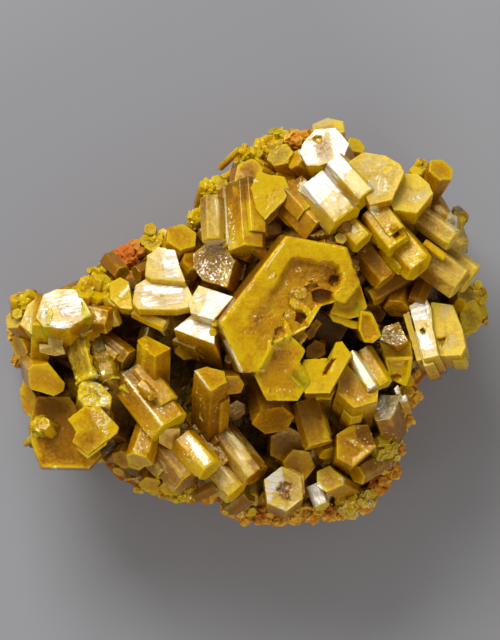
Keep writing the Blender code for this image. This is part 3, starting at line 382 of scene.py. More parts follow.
                 (-28.4, -11.2)], 18, 16, 170, 6, "hh", tone=-0.1),
        outlined([(-27.6, -6.2), (-26.9, -5.5), (-25, -5.4), (-22.9, -8), (-23.1, -9), (-24.4, -9.6),
                 (-27.3, -8.7)], 22.8, 14, -50, 7, "hh"),
        prism(-26, -13.1, 21.4, 30, 160, 190, 0.95, 4, "yo"),
    ],
    # Ragged green-yellow growths.
    "ragged_growths": [
        bar(-19.6, -7, 25, [(0.4, 0), (0.9, -0.5), (0.7, -2.6), (-2.2, -2.8), (-2.3, -1.6), (-0.4, 0)], 74, -74,
            5.4, "oo", steps=0.5, lines=0.08, rough=0.2, tone=0.3),
        outlined([(-21.2, -8), (-20.2, -7.3), (-18.4, -8), (-17, -9.6), (-17.2, -10.9), (-20.6, -10.9),
                 (-21.3, -9.8)], 24.4, 16, 80, 5, "oo", rough=0.2, tone=0.1),
        outlined([(-22.6, -12.4), (-20.5, -10.8), (-18.5, -10.8), (-16.1, -13.4), (-16.3, -14.1), (-17.6, -15.1),
                 (-20, -16.9), (-22, -15.2), (-21.5, -14)], 26, 5, 95, 1.6, "hy"),
        prism(-17.2, -7.9, 22.6, 68, -72, -42, 1.4, 7.5, "oo", rough=0.24, steps=0.45, tone=0.05),
        prism(-19.4, -13.6, 24.2, 8, 95, 125, 1.7, 6, "bb"),
        prism(-15, -5, 21.2, 70, -35, -8, 1.4, 6, "ob"),
        prism(-17.8, -4.2, 19.6, 60, -60, -8, 1.6, 6, "ob"),
    ],
    # The ridged crystal with its leg, and the three-sided one over it.
    "ridged_crystal": [
        bar(-10.7, -13.2, 26.2, [(0, 0), (2.9, -1), (3.3, -2.2), (2.4, -3.8), (-1, -4.2), (-2.3, -2.6),
            (-2.2, -1.2)], 70, -52, 8.2, "yh", tone=0.1, bend=2),
        bar(-13.6, -16.9, 25, [(-0.9, 0), (1, 0.1), (2, -1.7), (0.9, -3.4), (-0.9, -3.4), (-1.6, -1.6)], 66, -108,
            5, "hh", bend=2),
        outlined([(-11.2, -13.4), (-8.4, -13.6), (-8.6, -15.2), (-9.6, -16.4), (-11.2, -15.4)], 23.6, 24, -60, 6,
                 "hh", tone=-0.1),
        prism(-11.9, -9.6, 25.9, 66, -48, -20, 0.7, 2.4, "hh"),
        prism(-15.6, -9.4, 22.6, 60, -130, -100, 1.3, 5, "yo"),
        outlined([(-13.9, -2.5), (-12.8, -1.9), (-9.6, -3.5), (-11.6, -4.6), (-13.1, -3.6)], 24.8, 50, 88, 7.5,
                 "hh", tone=-0.05),
    ],
    # The stepped brown pillar.
    "stepped_pillar": [
        outlined([(-6.8, -6.3), (-5.2, -5.8), (-2.9, -6.4), (-2.6, -7.8), (-4.6, -8.9)], 26.6, 42, 86, 9.5, "hh",
                 tone=-0.08, steps=0.08),
        outlined([(-3.6, -7), (-1.1, -7), (-0.4, -8), (-0.9, -9.2), (-3.9, -9.6)], 25.6, 14, -80, 3.4, "hh",
                 tone=-0.2),
        outlined([(-6.1, -9.9), (-5, -9.2), (-2.6, -9.6), (-2.2, -10.8), (-5.6, -11.2)], 24.4, 16, -80, 5, "hh",
                 tone=-0.25),
        prism(-1.4, -11.2, 20.8, 20, -60, -30, 1.1, 4, "bb", tone=-0.45),
        prism(-5.9, -10.6, 23.4, 50, -150, -120, 0.7, 3, "sb"),
        prism(-5.7, -12.2, 22.6, 50, -140, -110, 0.6, 3, "sb"),
    ],
    # Striated bars along the lower edge.
    "striated_bars": [
        prism(-4.7, -18.8, 24, 72, -47, -30, 1.7, 5.4, "yy", steps=0.06),
        prism(-7.2, -20, 21.4, 76, -50, -38, 2.5, 6.5, "hf", tone=-0.32),
        prism(-1.5, -21.8, 21.5, 74, -47, -22, 1.6, 5.4, "yf", lines=0.06),
        prism(1, -19.6, 22, 72, -52, -26, 1.6, 7.4, "bf", lines=0.08),
        prism(-2.6, -18.2, 20.5, 72, -50, -20, 1.4, 6, "bb", lines=0.08),
        prism(-14, -17.8, 20.4, 35, -110, -80, 1.2, 6, "hh"),
        prism(-12.2, -20.8, 16.5, 50, -100, -70, 1.4, 6, "hb"),
        prism(-9.7, -21.2, 16.8, 50, -90, -60, 1.4, 6, "hb"),
        prism(-15.8, -17.6, 16.5, 50, -120, -90, 1.4, 6, "bb"),
        prism(0.2, -22.6, 18, 60, -90, -60, 1.4, 6, "hf"),
    ],
    # Hexagons and blades.
    "lower_hexagons": [
        outlined([(12.2, -5.2), (14.2, -7.4), (16.3, -8.7), (16.2, -10.2), (13.2, -11), (11.1, -9), (11.2, -6.9)],
                 27.3, 22, 75, 10, "hh", tone=0.02),
        bar(15.1, -8.6, 28.2, [(0, 0), (1, -0.1), (1.3, -1.2), (0.2, -2.2), (-0.7, -1.2)], 68, -57, 5.6, "wy"),
        bar(16.4, -8.2, 27, [(0, 0), (1.2, 0.1), (1.8, -0.9), (1, -2.2), (-0.8, -1.2)], 72, -60, 4.8, "yy"),
        outlined([(17, -4.7), (20.7, -4.6), (20.4, -7), (19.8, -8.4), (17.7, -7.4)], 23.4, 14, -60, 8, "yh",
                 rim=0.5, pit=0.5),
        outlined([(16.6, -9.3), (19, -9.4), (18.6, -11), (17.8, -12.4), (16, -12.6), (15.5, -11.6)], 24, 27, 112, 7,
                 "wb", rough=0.13),
        outlined([(18.2, -8.6), (18.8, -8), (19.1, -9.1), (18.5, -9.3)], 23.6, 26, 113, 4, "wy"),
        outlined([(18.7, -9.6), (19.8, -9.3), (20, -10.1), (19, -10.4)], 23, 26, 113, 4, "wy"),
        prism(18.9, -10.9, 21.6, 30, -30, 0, 0.9, 5, "yy"),
        outlined([(11.1, -14.3), (12.9, -13.1), (15.1, -13.1), (16.1, -15.8), (13.1, -18.4), (11.1, -17.3)], 24.5,
                 10, 60, 9, "hh", rim=0.5, pit=0.12, tone=-0.15),
        bar(8.2, -15.6, 25, [(-0.6, -0.3), (0.9, 0.1), (2.2, -0.3), (2.6, -1.6), (1, -2.8), (-1.4, -2.2)], 80, -74,
            5.8, "hh", tone=-0.12),
        prism(3.2, -12.6, 22.5, 50, -80, -50, 2.4, 7, "bb"),
        prism(5, -15.8, 19, 15, -60, -30, 2.2, 6, "bb"),
        prism(6.4, -18.2, 19.5, 15, -40, -10, 1.9, 6, "hb", tone=-0.15),
        outlined([(2, -20), (4.2, -18.3), (6.7, -19.5), (6.9, -22.4), (4.8, -24), (2.4, -23)], 23.2, 8, 80, 8,
                 "wh"),
        outlined([(8.6, -19), (10.2, -18.2), (11.9, -19.6), (12, -20.6), (9.9, -21.7), (8.6, -20.9)], 20.8, 24, 150,
                 6, "hh"),
        bar(8.4, -23.4, 20, [(0, 0), (1.65, 0), (1.9, -1.2), (1, -2.2), (-0.2, -1.4)], 64, -66, 2.9, "yw"),
        prism(13.6, -19.4, 19.6, 55, -150, -120, 1.3, 6, "hb"),
        prism(10.2, -16.8, 20.5, 62, -70, -40, 1.3, 6, "hb"),
        prism(17.2, -14.8, 19, 40, 30, 60, 1, 6, "oo"),
        prism(17, -17.2, 18.6, 45, -20, 10, 1.1, 6, "oy"),
        prism(16, -18.6, 17, 50, -60, -30, 0.9, 6, "yo"),
        prism(12.2, -22.4, 16.2, 45, -60, -30, 1, 6, "yy"),
        prism(14, -22.3, 15, 50, -40, -10, 0.9, 6, "wy"),
    ],
    # The hollow block and the lumps behind it.
    "hollow_block": [
        outlined([(20.1, 1.8), (22.2, 3), (23, 1.6), (23.1, -0.6), (23.9, -4.5), (21.9, -5)], 24, 22, 118, 6, "wy"),
        outlined([(22.9, 2.3), (25.7, 1.9), (26.9, -1.2), (27.3, -3.4), (26.7, -4.5), (23.7, -4.6), (23, -0.6)],
                 23.5, 14, 115, 6, "fy", tone=0.15),
        outlined([(19.4, 0.7), (20.2, 1.2), (21.9, -5), (21.1, -5.2)], 22.9, 14, 125, 6, "fy", lines=0.05),
        outlined([(26.1, 4.2), (28.2, 3.7), (29, 2), (29.6, 0.2), (28.8, -1.5), (27, -2)], 18, 24, 10, 6, "oo"),
        prism(29.4, 1.3, 16.2, 50, 20, 50, 1.1, 5, "yy"),
        prism(27.4, 3.2, 19.4, 40, 60, 90, 1.2, 5, "oy"),
        prism(24.8, -5.2, 17.6, 50, -80, -50, 1, 5, "ff"),
        prism(22.6, -5.8, 17, 50, -90, -60, 0.9, 5, "hh"),
    ],
}


def on_great(outline, rise, length, look, **more):
    """A piece grown on the great crystal, its end parallel to the great one and rise above it."""
    x = sum(point[0] for point in outline) / len(outline)
    y = sum(point[1] for point in outline) / len(outline)
    z = GREAT_POINT[2] + GREAT_CLIMB[0] * (x - GREAT_POINT[0]) + GREAT_CLIMB[1] * (y - GREAT_POINT[1]) + rise
    return outlined(outline, z, GREAT_CRYSTAL.lean, GREAT_CRYSTAL.heading, length, look, **more)


# Smaller pieces that the solids leave out.
EXTRAS = {
    "great_crystal_group": [
        on_great([(5, -1.8), (6.6, -1.2), (7.7, -0.8), (7.1, -1.4), (7.5, -2), (6.8, -3), (6.7, -3.9), (6.9, -4.9),
                 (5, -4.5), (4.2, -2.9)], -1.5, 6, "bb", rough=0.1, tone=0.15),
        on_great([(7.2, -1.5), (8.6, 0.2), (9.3, -0.4), (8.2, -2.2), (7.5, -2.6)], -3.6, 5, "bb"),
        on_great([(7.3, -3.4), (8.4, -2.4), (9.6, -3), (9.8, -4.3), (8.6, -5), (7.2, -4.7)], -4.4, 5, "bb"),
        on_great([(6.3, -5.3), (7, -5.8), (7.75, -7.5), (7.1, -8.5), (6.3, -8.4), (5.3, -7.2), (5.6, -6.3)], -0.95,
                 3, "hh", tone=0.15),
        prism(-4.4, -1.6, 27.6, 30, -120, 0, 0.55, 4, "yh"),
        prism(-4.2, -0.3, 28.2, 30, 160, 0, 0.5, 4, "yh"),
        on_great([(12.9, 0.6), (13.9, 0.2), (14.6, 0.6), (14.3, 1.5), (13.6, 2.5), (13.1, 1.8)], -1.9, 4, "yh"),
    ],
}
# Touches on the surface, seen from above: outline, lowest height reached, rise, tone, frost, roughness, and 1
# where its edge is sharp. Frost over 0.6 is a solid white patch, 0.1 to 0.35 scattered flecks, below 0 none; that
# white is partly frosting and partly painted highlight, reflection of the main light and glints. A tone lowered in
# sunk holes, pockets and shaded faces is painted shade.
TOUCHES = {
    "great_crystal_group": [
        ([(5.2, 2.9), (6.4, 2.2), (7.4, 1.9), (8, 1.2), (8.5, 1.9), (9.2, 1.7), (9, 0.5), (7.7, -0.9), (7.1, -0.5),
         (7.4, 0.6), (6.8, 1.1), (5.8, 1.3), (5, 2)], 27, 0.75, 0.4, 0.1, 0.12),
        ([(4.3, 0.2), (5, -0.3), (5.5, -1.6), (5.3, -2.4), (3.1, -3.1), (3, -2.5), (4.4, -2.2), (4.7, -1.6),
         (4.4, -0.9)], 27, 0.4, 0.4, 0.15, 0.1),
        ([(2.6, -2.7), (3.2, -2.7), (3.6, -3.3), (2, -6.2), (1.3, -6.4), (1.9, -4.8)], 29.6, 0.22, 0.4, 0, 0),
        ([(10.4, -4.8), (10.9, -4.9), (9.8, -6.9), (9.3, -6.7)], 26, -0.9, -0.5, 0, 0, 1),
        # Painted highlight: the white strip on the lower left side of the great crystal.
        ([(-0.6, -6.3), (-0.9, -6.7), (-3.1, -2.6), (-2.7, -2.4)], 24, 0, 0.2, 1.2, 0, 1),
        # Pockets sunk into the floor, their tone lowered: painted shade in them.
        ([(8, 3.5), (9, 3.8), (10.4, 3.4), (10.6, 2.5), (9.8, 1.9), (8.8, 2.1), (8, 2.4)], 27.5, -1.3, -0.35, 0,
         0.1),
        ([(10.2, 5.6), (11.2, 5.4), (11.3, 4.3), (10.6, 4.2), (10, 4.8)], 27.5, -0.9, -0.3, 0, 0.1),
        ([(6, 1), (7.2, 0.9), (7.3, 0.2), (6.6, -0.5), (5.9, 0)], 27.5, -1, -0.3, 0, 0.1),
        ([(3.3, -1), (4.1, -0.9), (4.5, -1.6), (3.8, -2), (3.2, -1.6)], 28, -0.35, -0.25, 0, 0.05),
        ([(7.2, 4.4), (8.3, 4.7), (8.8, 4.1), (8, 3.5), (7.3, 3.4)], 27.5, -0.5, -0.25, 0, 0.15),
        ([(10.6, 3.4), (11.4, 4.3), (12.8, 4.4), (14.1, 4.5), (12.3, 1.9), (10.7, 2)], 29.5, -0.1, 0.05, 0, 0.14),
        (spot(9, 5.4, 2.2, 0.9, -10), 27, 0, -0.12, 0, 0.22),
        (spot(6.5, 3.4, 1.2, 0.8, -20), 27, 0.15, 0.1, 0.35, 0.2),
        (spot(6.3, 6.2, 0.5, 0.32, 20), 27, 0.1, 0.1, 0.5, 0.4),
        (spot(3, 5.4, 0.7, 0.3, 25), 27, 0.08, 0.1, 0.5, 0.35), (spot(4.9, 4.7, 0.3, 0.3), 27, 0.05, 0, 0.4, 0.3),
        (spot(12.3, 6.8, 0.4, 0.22, -15), 27, 0.05, 0, 0.45, 0.3),
        (spot(8.2, 4.9, 0.5, 0.3), 27, 0.1, 0.1, 0.4, 0.4),
        # Painted highlight lines along the upper left edge of the great crystal.
        ([(-2.2, 0.9), (-2.05, 0.75), (1.6, 5.6), (1.5, 5.75)], 29, 0, 0.2, 0.5, 0, 1),
        ([(2, 6.3), (2.2, 6.15), (4.6, 9.5), (4.4, 9.7)], 29, 0, 0.3, 0.85, 0, 1),
        (spot(5.2, 0.8, 0.9, 0.5, 30), 27, 0.05, 0.05, 0.1, 0.3),
        (spot(11.6, 5.6, 0.5, 0.9, 20), 27, 0, 0.1, 0.15, 0.3),
        (spot(1.3, 0.7, 1.4, 0.9, 30), 27, -0.05, -0.14, 0.1, 0.07),
        (spot(0.2, -1.3, 1, 0.6), 27, -0.05, -0.1, 0.08, 0.07),
        (spot(2.4, -0.6, 1.6, 1.2, 30), 27, -0.08, -0.1, 0, 0.05),
        (spot(4.6, -9, 2.6, 0.7), 27, 0, 0.1, 0.03, 0.22),
        ([(2.4, -9.4), (6.2, -9.5), (7, -8.2), (6.2, -8.9), (2.6, -8.9)], 27, 0.05, 0.1, 0, 0.12),
        (spot(4.2, -5, 1.5, 1.6), 27, -0.1, -0.15, 0, 0.18),
    ],
    "hollow_block": [
        ([(20.2, 1.6), (22.2, 2.8), (23, 1.4), (23, 0), (20.6, -0.2)], 20, 0, 0.1, 0.25, 0.1),
        ([(21.1, -1.5), (22.4, -1.9), (23.4, -3.7), (22.2, -3.9)], 20, 0, 0.1, 1.2, 0.02),
        (spot(22, -0.8, 1.3, 0.75), 20, 0, 0.35, -1.2, 0.05),
        ([(21.5, -1.2), (21.9, -1), (22.3, -1.6), (21.9, -1.8)], 20, -0.7, -0.4, -1, 0, 1),
        (spot(22.8, -4.4, 1.3, 0.8, 8), 20, 0, 0.3, -1.4, 0.05),
        (spot(23.4, 1, 0.7, 1.8, 10), 20, 0, 0.1, -0.5, 0.05),
        (spot(23.9, -1.2, 0.7, 1.4, 15), 20, 0, 0.35, -1, 0.04), (spot(25.2, -1, 0.4, 0.7), 20, 0, 0.4, -1, 0.03),
        ([(23.6, -2.3), (24.8, -2.2), (24.4, -3.3), (24, -2.9)], 20, -0.6, -0.5, -1, 0, 1),
        (spot(25.6, -2.4, 0.4, 0.55, -20), 20, 0, 0.1, 1.3, 0), (spot(25, -3.6, 0.3, 0.35), 20, 0, 0.1, 1, 0),
        (spot(24.6, 1.2, 1.1, 0.8), 20, 0, 0, 0.25, 0.08), (spot(25.6, -4, 1.2, 0.5, 8), 20, 0, 0.35, -1, 0.03),
        (spot(29.2, 1.6, 1.1, 0.8), 12, 0, 0.4, 0, 0.05), (spot(28, 0.2, 1.6, 1.6), 12, 0, 0.15, 0, 0.03),
    ],
    "upright_blades": [
        (spot(2.2, 16.8, 1.3, 1, 30), 22, 0, 0.3, 0, 0.03), (spot(0.9, 17.4, 0.25, 0.2), 22, 0.05, 0.2, 1.2, 0, 1),
        (spot(1, 15.3, 0.2, 0.2), 22, 0.05, 0.2, 1.2, 0, 1),
        ([(1, 13.8), (2.4, 12.6), (4.2, 14.6), (3.4, 14.9)], 22, 0, -0.2, 0, 0),
        (spot(3.6, 16.2, 0.8, 1.8, 35), 22, 0, -0.15, 0, 0), (spot(-0.1, 17.2, 1.2, 2.6), 18, 0, -0.25, 0, 0.03),
        (spot(-4.6, 13.2, 0.25, 1.6), 20, 0, 0.3, -1, 0), (spot(-3.7, 13.6, 0.2, 1), 20, 0, 0.1, 0.75, 0),
        ([(-5.4, 9.9), (-3, 10.1), (-3, 9.3), (-5.4, 9.1)], 18, 0, 0.1, 0.9, 0),
        ([(-2.8, 14), (-1.9, 14.2), (-1.2, 9), (-2.6, 8.6)], 20, 0, 0.1, 0.35, 0),
        (spot(-1.6, 16, 0.4, 0.5), 20, 0, 0.5, -1, 0), (spot(0, 12.6, 0.7, 2.2, 8), 20, 0, 0.35, 0, 0),
        (spot(1.4, 10, 0.7, 1.8), 20, 0, -0.3, 0, 0),
    ],
    "crest_crystals": [
        # The white of the cap is painted reflection of the main light.
        ([(10.2, 24), (11.2, 24.1), (12.7, 22.1), (12.1, 20.4), (10.8, 20.6), (10.4, 22.2)], 22, 0, 0, 1.2, 0),
        ([(6.4, 21), (7, 22.2), (8.2, 21.6), (8.9, 19.8), (8.2, 19.2), (7.3, 19.2)], 22, 0, 0, 1, 0),
        ([(8.4, 23.8), (10.2, 24), (9.6, 23.1), (8.2, 23.1)], 22, 0, 0, 0.8, 0),
        (spot(9.6, 24.8, 1.6, 0.5, 8), 18, 0, 0, 0.3, 0.04), (spot(11.4, 24.6, 0.6, 0.7), 18, 0, 0.5, -1, 0.03),
        ([(6.9, 18.9), (7.4, 19.4), (9.2, 19.4), (9.2, 18.6)], 18, 0, 0.4, -2, 0),
        ([(8.1, 22.4), (8.3, 22.9), (9.1, 23), (9.3, 22.7), (9, 22.2)], 23, -0.6, 0.5, -1, 0.1),
        (spot(9.5, 21.3, 1, 1.2, 20), 23, 0, -0.2, -0.6, 0.14),
        (spot(10.3, 22.8, 0.9, 0.5, -40), 23, 0, 0, -0.5, 0.1),
    ],
    "stepped_blocks": [
        # White on the two blocks: painted reflection of the main light, over the coat's own reflection.
        ([(6.2, 16.4), (9.4, 19.6), (11, 17), (9.2, 14.6), (8.3, 14.6)], 24, 0, 0.1, 1.2, 0),
        ([(9.4, 19.2), (11.3, 20.8), (12.8, 18.8), (11.6, 17.6), (10.6, 18)], 24, 0, 0.1, 1.2, 0),
        (spot(10.4, 15.6, 1.2, 1, -50), 24, 0, 0.1, 0.3, 0.06),
        (spot(11, 14.4, 2.1, 1.5, -50), 24, 0, 0.2, -0.6, 0.1),
        (spot(9.9, 16.2, 0.35, 0.25), 24, 0.05, 0, 1.3, 0, 1),
        (spot(11.3, 16, 0.4, 0.25, 40), 24, 0.05, 0, 1.3, 0, 1),
        (spot(10.7, 15, 0.25, 0.2), 24, 0.05, 0, 1.3, 0, 1), (spot(12.1, 15.1, 0.25, 0.15), 24, 0.05, 0, 1.3, 0, 1),
        (spot(9.9, 14.4, 0.2, 0.2), 24, 0.05, 0, 1.2, 0, 1), (spot(11.5, 13.9, 0.2, 0.15), 24, 0.05, 0, 1.2, 0, 1),
        (spot(13.6, 16.8, 2, 1.1, -50), 24, 0, 0.3, -1.2, 0.03),
        ([(6.4, 16), (6, 15.2), (10.4, 10.6), (11.4, 11.4)], 22, 0, 0.15, -1.5, 0),
        ([(11.7, 11.8), (12.3, 12.3), (13.6, 11.3), (13.1, 10.9)], 22, 0, 0.2, 1.3, 0, 1),
        (spot(14.1, 11, 0.2, 0.9, 10), 22, 0, 0.2, 0.5, 0.05),
        (spot(15.6, 13.8, 0.7, 0.5, 40), 22, 0, 0.2, 0.75, 0),
        (spot(17.1, 11.9, 0.8, 0.9), 22, 0, -0.05, 0.3, 0.12), (spot(16.2, 12.9, 1, 0.6, -50), 22, 0, 0, 0.05, 0.1),
        ([(17.9, 11.7), (19.3, 11.2), (19.5, 10.4), (18.4, 10)], 24, -0.7, -0.2, 0, 0.08, 1),
        ([(18, 10.6), (18.7, 11), (18.9, 10.6), (18.3, 10.2)], 24, -0.7, -0.3, 0, 0.05, 1),
        (spot(21, 7.4, 0.9, 0.9, -50), 24, 0, 0.1, 0.35, 0.16),
        (spot(19.8, 9.4, 1.2, 0.8, -50), 24, 0, 0, 0.12, 0.05),
        ([(17.4, 8.6), (18.4, 9.4), (20.5, 6.8), (20, 5.2)], 22, 0, -0.25, 0, 0),
        (spot(17.4, 18.7, 0.7, 0.4, 30), 24, 0, 0.5, -1, 0.03),
        (spot(13.6, 17.4, 1, 1.8, 40), 24, 0, 0.35, -0.6, 0.02),
        (spot(16.2, 16.8, 1.4, 1.2, 0), 24, 0, -0.1, 0.35, 0.06),
        (spot(15.6, 19.4, 1.8, 1, 0), 24, 0, 0.1, 0.2, 0.04),
        (spot(18.6, 19.6, 0.8, 0.5, -40), 24, 0, 0.4, -0.8, 0.03),
        (spot(20.6, 17.4, 1.8, 0.8, -10), 24, 0, 0.4, -1, 0.02),
        (spot(21.2, 15.4, 1.3, 0.7, 20), 24, 0, 0, 0.35, 0.08),
        (spot(19.4, 14, 1.2, 0.5, -10), 22, 0, 0.2, -0.6, 0.02),
        ([(22.4, 10.4), (23.4, 11.2), (25.2, 9.8), (24.9, 9.2)], 22, 0, 0.3, -0.8, 0),
        ([(20.3, 6.2), (21.5, 7.3), (25.8, 4.2), (24.3, 2.6)], 20, 0, -0.25, -1, 0),
        (spot(24.6, 3.8, 0.7, 0.6), 20, 0, 0.4, 0, 0), (spot(21, 6.2, 0.4, 0.5, -40), 20, 0, 0.3, 1, 0),
        (spot(25.8, 12.4, 0.8, 1.4), 16, 0, 0, 1.2, 0), (spot(18.2, -1.8, 1.6, 1.2), 16, 0, 0.1, 0.4, 0.06),
    ],
    "lower_hexagons": [
        ([(13, -3.8), (13.7, -4.1), (16, -7.2), (16, -8), (15.2, -8.8), (14.2, -7.5), (13.1, -6.2)], 24, 0, 0.1,
         1.2, 0),
        (spot(15.2, -7.6, 0.7, 0.8, 0), 24, 0, -0.1, -0.6, 0.1),
        (spot(13.4, -8.4, 2.2, 1.5, -30), 24, 0, -0.22, 0.04, 0.05),
        (spot(14.6, -9.6, 1.4, 0.4, 15), 24, 0.1, 0.05, 0.07, 0.08),
        ([(11.2, -9.3), (13.2, -11.2), (16.2, -10.4), (13.4, -13.2), (11.4, -12)], 18, 0, 0.2, 0, 0),
        ([(13.5, -13), (16.2, -13), (16.4, -15.6), (15, -15.6), (13.6, -14.6)], 20, -0.25, -0.5, 0.12, 0.2),
        ([(12.2, -14.8), (13.2, -14.8), (15.6, -16.6), (15.4, -17)], 20, 0.1, 0.3, 0.35, 0.05),
        (spot(12.2, -16.4, 0.9, 1.6), 20, 0, 0.05, 0.05, 0.03),
        ([(9.4, -12), (10.9, -12.6), (10.4, -14.4), (9.2, -15.4), (9.5, -14), (9, -13)], 20, 0.1, 0.5, 0.1, 0.15),
        (spot(18.5, -7.2, 0.6, 0.45), 18, -0.9, -0.6, 0, 0), (spot(17.4, -10.8, 1.5, 1.4), 18, 0, 0.1, 0.2, 0.2),
        (spot(18.6, -8.6, 0.5, 0.7), 18, 0, 0.2, 1, 0), (spot(19.4, -9.8, 0.7, 0.5), 18, 0, 0.2, 1, 0),
        ([(7.3, -20.9), (8.9, -20.3), (10.2, -22.7), (8.3, -23.6)], 17, 0, 0.2, 1.5, 0, 1),
        ([(2, -19.9), (4.2, -18.2), (4.5, -20.2), (3.6, -20.8), (2.6, -22.6), (2, -21.6)], 20, 0, 0.15, 0.22, 0),
        ([(4.2, -18.4), (6.8, -19.4), (6.9, -22.4), (4.8, -23.9), (4.6, -22)], 20, -0.12, -0.1, -0.1, 0.03),
        ([(4.4, -20.2), (5.4, -20.4), (5, -21.6), (5.6, -22.8), (4.4, -22.4), (3.6, -21.2)], 20, -0.45, -0.5, 0,
         0.25),
        (spot(2.7, -22.3, 0.35, 0.25), 20, 0.1, 0.2, 1.5, 0, 1),
        (spot(11.8, -20, 0.5, 0.22, -35), 16, 0.05, 0.2, 1, 0, 1),
        (spot(9.4, -19.8, 0.7, 1.2, 20), 16, 0, 0.1, 0, 0), (spot(17.4, -16.6, 1.8, 3), 14, 0, 0.2, 0.2, 0.1),
    ],
    "left_block": [
        (spot(-25.5, 0.9, 0.5, 0.8), 20, 0, 0.1, 0.6, 0.1), (spot(-24, 0.8, 0.55, 1.1, 20), 20, 0, 0.3, -0.6, 0.05),
        (spot(-22, 1.9, 1.7, 1.5), 20, 0, 0, 0.16, 0.16), (spot(-24.6, 3, 1.2, 0.8), 20, 0, 0.2, 0.1, 0.04),
        (spot(-25.9, -0.4, 0.5, 0.6), 20, 0, 0.4, -1, 0.03), (spot(-20, 0.9, 0.5, 0.9), 20, 0, 0.4, -1.5, 0.03),
        (spot(-23.6, -0.6, 1.6, 0.4, -5), 20, -0.1, 0, 0.2, 0.05),
        ([(-27, -0.5), (-25.1, -0.5), (-25, -2.3), (-27, -2.2)], 18, 0, 0.35, 0, 0.02),
        ([(-26.1, -3.3), (-24.7, -3.1), (-24.7, -3.35), (-26.1, -3.6)], 18, 0, 0.2, 1.5, 0, 1),
        (spot(-23.4, -3.9, 0.6, 0.25), 18, 0, 0.2, 0.6, 0.1), (spot(-18.8, 0.6, 0.5, 0.6), 20, 0, 0.1, 1.2, 0),
        (spot(-20, -1.2, 2.6, 0.8, 8), 18, 0, -0.35, 0, 0.05),
        ([(-16.1, 3), (-15, 4.2), (-14.7, 3.9), (-15.8, 2.8)], 20, 0.05, 0, 1.5, 0, 1),
        (spot(-28, 0.3, 0.9, 1.8, 20), 18, 0, 0.1, 0.15, 0.2),
    ],
    "olive_plate": [
        (spot(-26.6, -16, 0.5, 2.4, 15), 15, 0, 0.3, 0, 0.03),
        (spot(-23.5, -18.4, 3.6, 0.35, -2), 15, 0, 0.3, 0, 0.02),
        (spot(-24.3, -18.6, 0.25, 0.2), 15, 0.05, 0.3, 2, 0, 1),
        (spot(-26.8, -14.7, 0.2, 0.2), 15, 0.05, 0.3, 2, 0, 1),
        (spot(-25.2, -11.2, 1.8, 1.6), 15, 0, -0.3, 0, 0.08), (spot(-22.6, -13.6, 2.2, 1.4), 15, 0, -0.15, 0, 0.08),
    ],
    "ragged_growths": [
        ([(-20.6, -2.1), (-19.6, -2.1), (-18.7, -6.2), (-19.6, -6.4), (-20.4, -3.6)], 18, 0.12, 0.5, 0.1, 0.2),
        ([(-22.3, -3), (-20.6, -2.4), (-19.8, -6.6), (-21.6, -7)], 18, 0, -0.1, 0, 0.05),
        (spot(-19.9, -9.3, 1, 1.6, 20), 18, 0.1, 0.25, 0.35, 0.25),
        (spot(-18.2, -8.4, 0.8, 2.6, 12), 18, 0, 0.1, 0.35, 0.3),
        (spot(-19.2, -7.6, 0.5, 1.4, 12), 18, 0.1, 0.3, 0.5, 0.3),
        (spot(-18, -10.4, 1, 1, 0), 18, 0.1, 0.2, 0.35, 0.25),
        ([(-19.8, -10.9), (-17.3, -11.6), (-17, -13.2), (-17.8, -14.9), (-18.4, -13.4), (-19.6, -12.6)], 18, 0.15,
         0.1, 0.5, 0.25),
        (spot(-16.9, -13.5, 0.75, 0.7), 18, 0, 0.6, -1.5, 0.03),
        (spot(-21.8, -12, 0.9, 0.6, 30), 18, 0, 0.5, 0, 0.03),
        (spot(-20.6, -13, 0.9, 1.2, 20), 18, 0, 0.15, 0, 0.03),
        (spot(-20.4, -15.2, 1.4, 1.4, 20), 18, 0, -0.12, 0, 0.03),
    ],
    "ridged_crystal": [
        # Painted highlight along the ridge.
        ([(-15.7, -7), (-15.3, -6.8), (-10.5, -13), (-10.8, -13.3)], 22, 0, 0.2, 0.75, 0, 1),
        ([(-14.4, -7.4), (-11.6, -8.6), (-8.3, -11.6), (-8, -12.6), (-10.2, -12.4)], 20, 0, -0.15, 0.12, 0.25),
        ([(-10.7, -13.1), (-7.4, -13.2), (-7.2, -13.9), (-8.2, -14.6), (-11.1, -14.4)], 18, 0, 0.05, 0, 0.02),
        ([(-10.4, -13), (-7.6, -13.4), (-7.6, -13.7), (-10.4, -13.5)], 18, 0, 0.35, 0.1, 0),
        (spot(-16.2, -9, 0.8, 1.6, 35), 18, 0.1, 0.2, 0.15, 0.25),
        (spot(-13.4, -10.6, 0.8, 2.6, 37), 18, 0, 0.05, 0, 0.04),
        ([(-14.6, -16.3), (-13, -17.4), (-13.2, -17), (-14.4, -15.9)], 18, 0, 0.5, 0.2, 0),
        (spot(-13, -15, 0.9, 2, -18), 22, 0, -0.05, 0.25, 0),
        ([(-13.9, -2.9), (-13.2, -2), (-12.4, -2.8), (-13, -5), (-13.6, -7.6), (-13.8, -6)], 18, 0, 0.25, 0.12,
         0.12),
    ],
    "banded_fan": [
        ([(-13, 5.2), (-12.9, 8.2), (-11.2, 8.5), (-11, 5.2)], 20, 0, 0.1, -0.12, 0.04),
        ([(-11, 8.9), (-8.9, 8.7), (-8.4, 5.4), (-10.4, 5.2)], 20, 0, 0, 0.3, 0.04),
        ([(-14.6, 3.4), (-14.6, 1.4), (-13.4, 1.4), (-13.6, 3.4)], 20, 0, 0.4, -1.5, 0.03),
        (spot(-9.3, 1.5, 1.6, 0.4, 4), 20, 0, 0.4, -1.5, 0.05), (spot(-7.3, 2.6, 0.6, 0.9), 20, 0, 0.4, -1.5, 0.08),
        (spot(-10.6, 4, 2.6, 0.8, -4), 20, 0, 0, 0.22, 0.06),
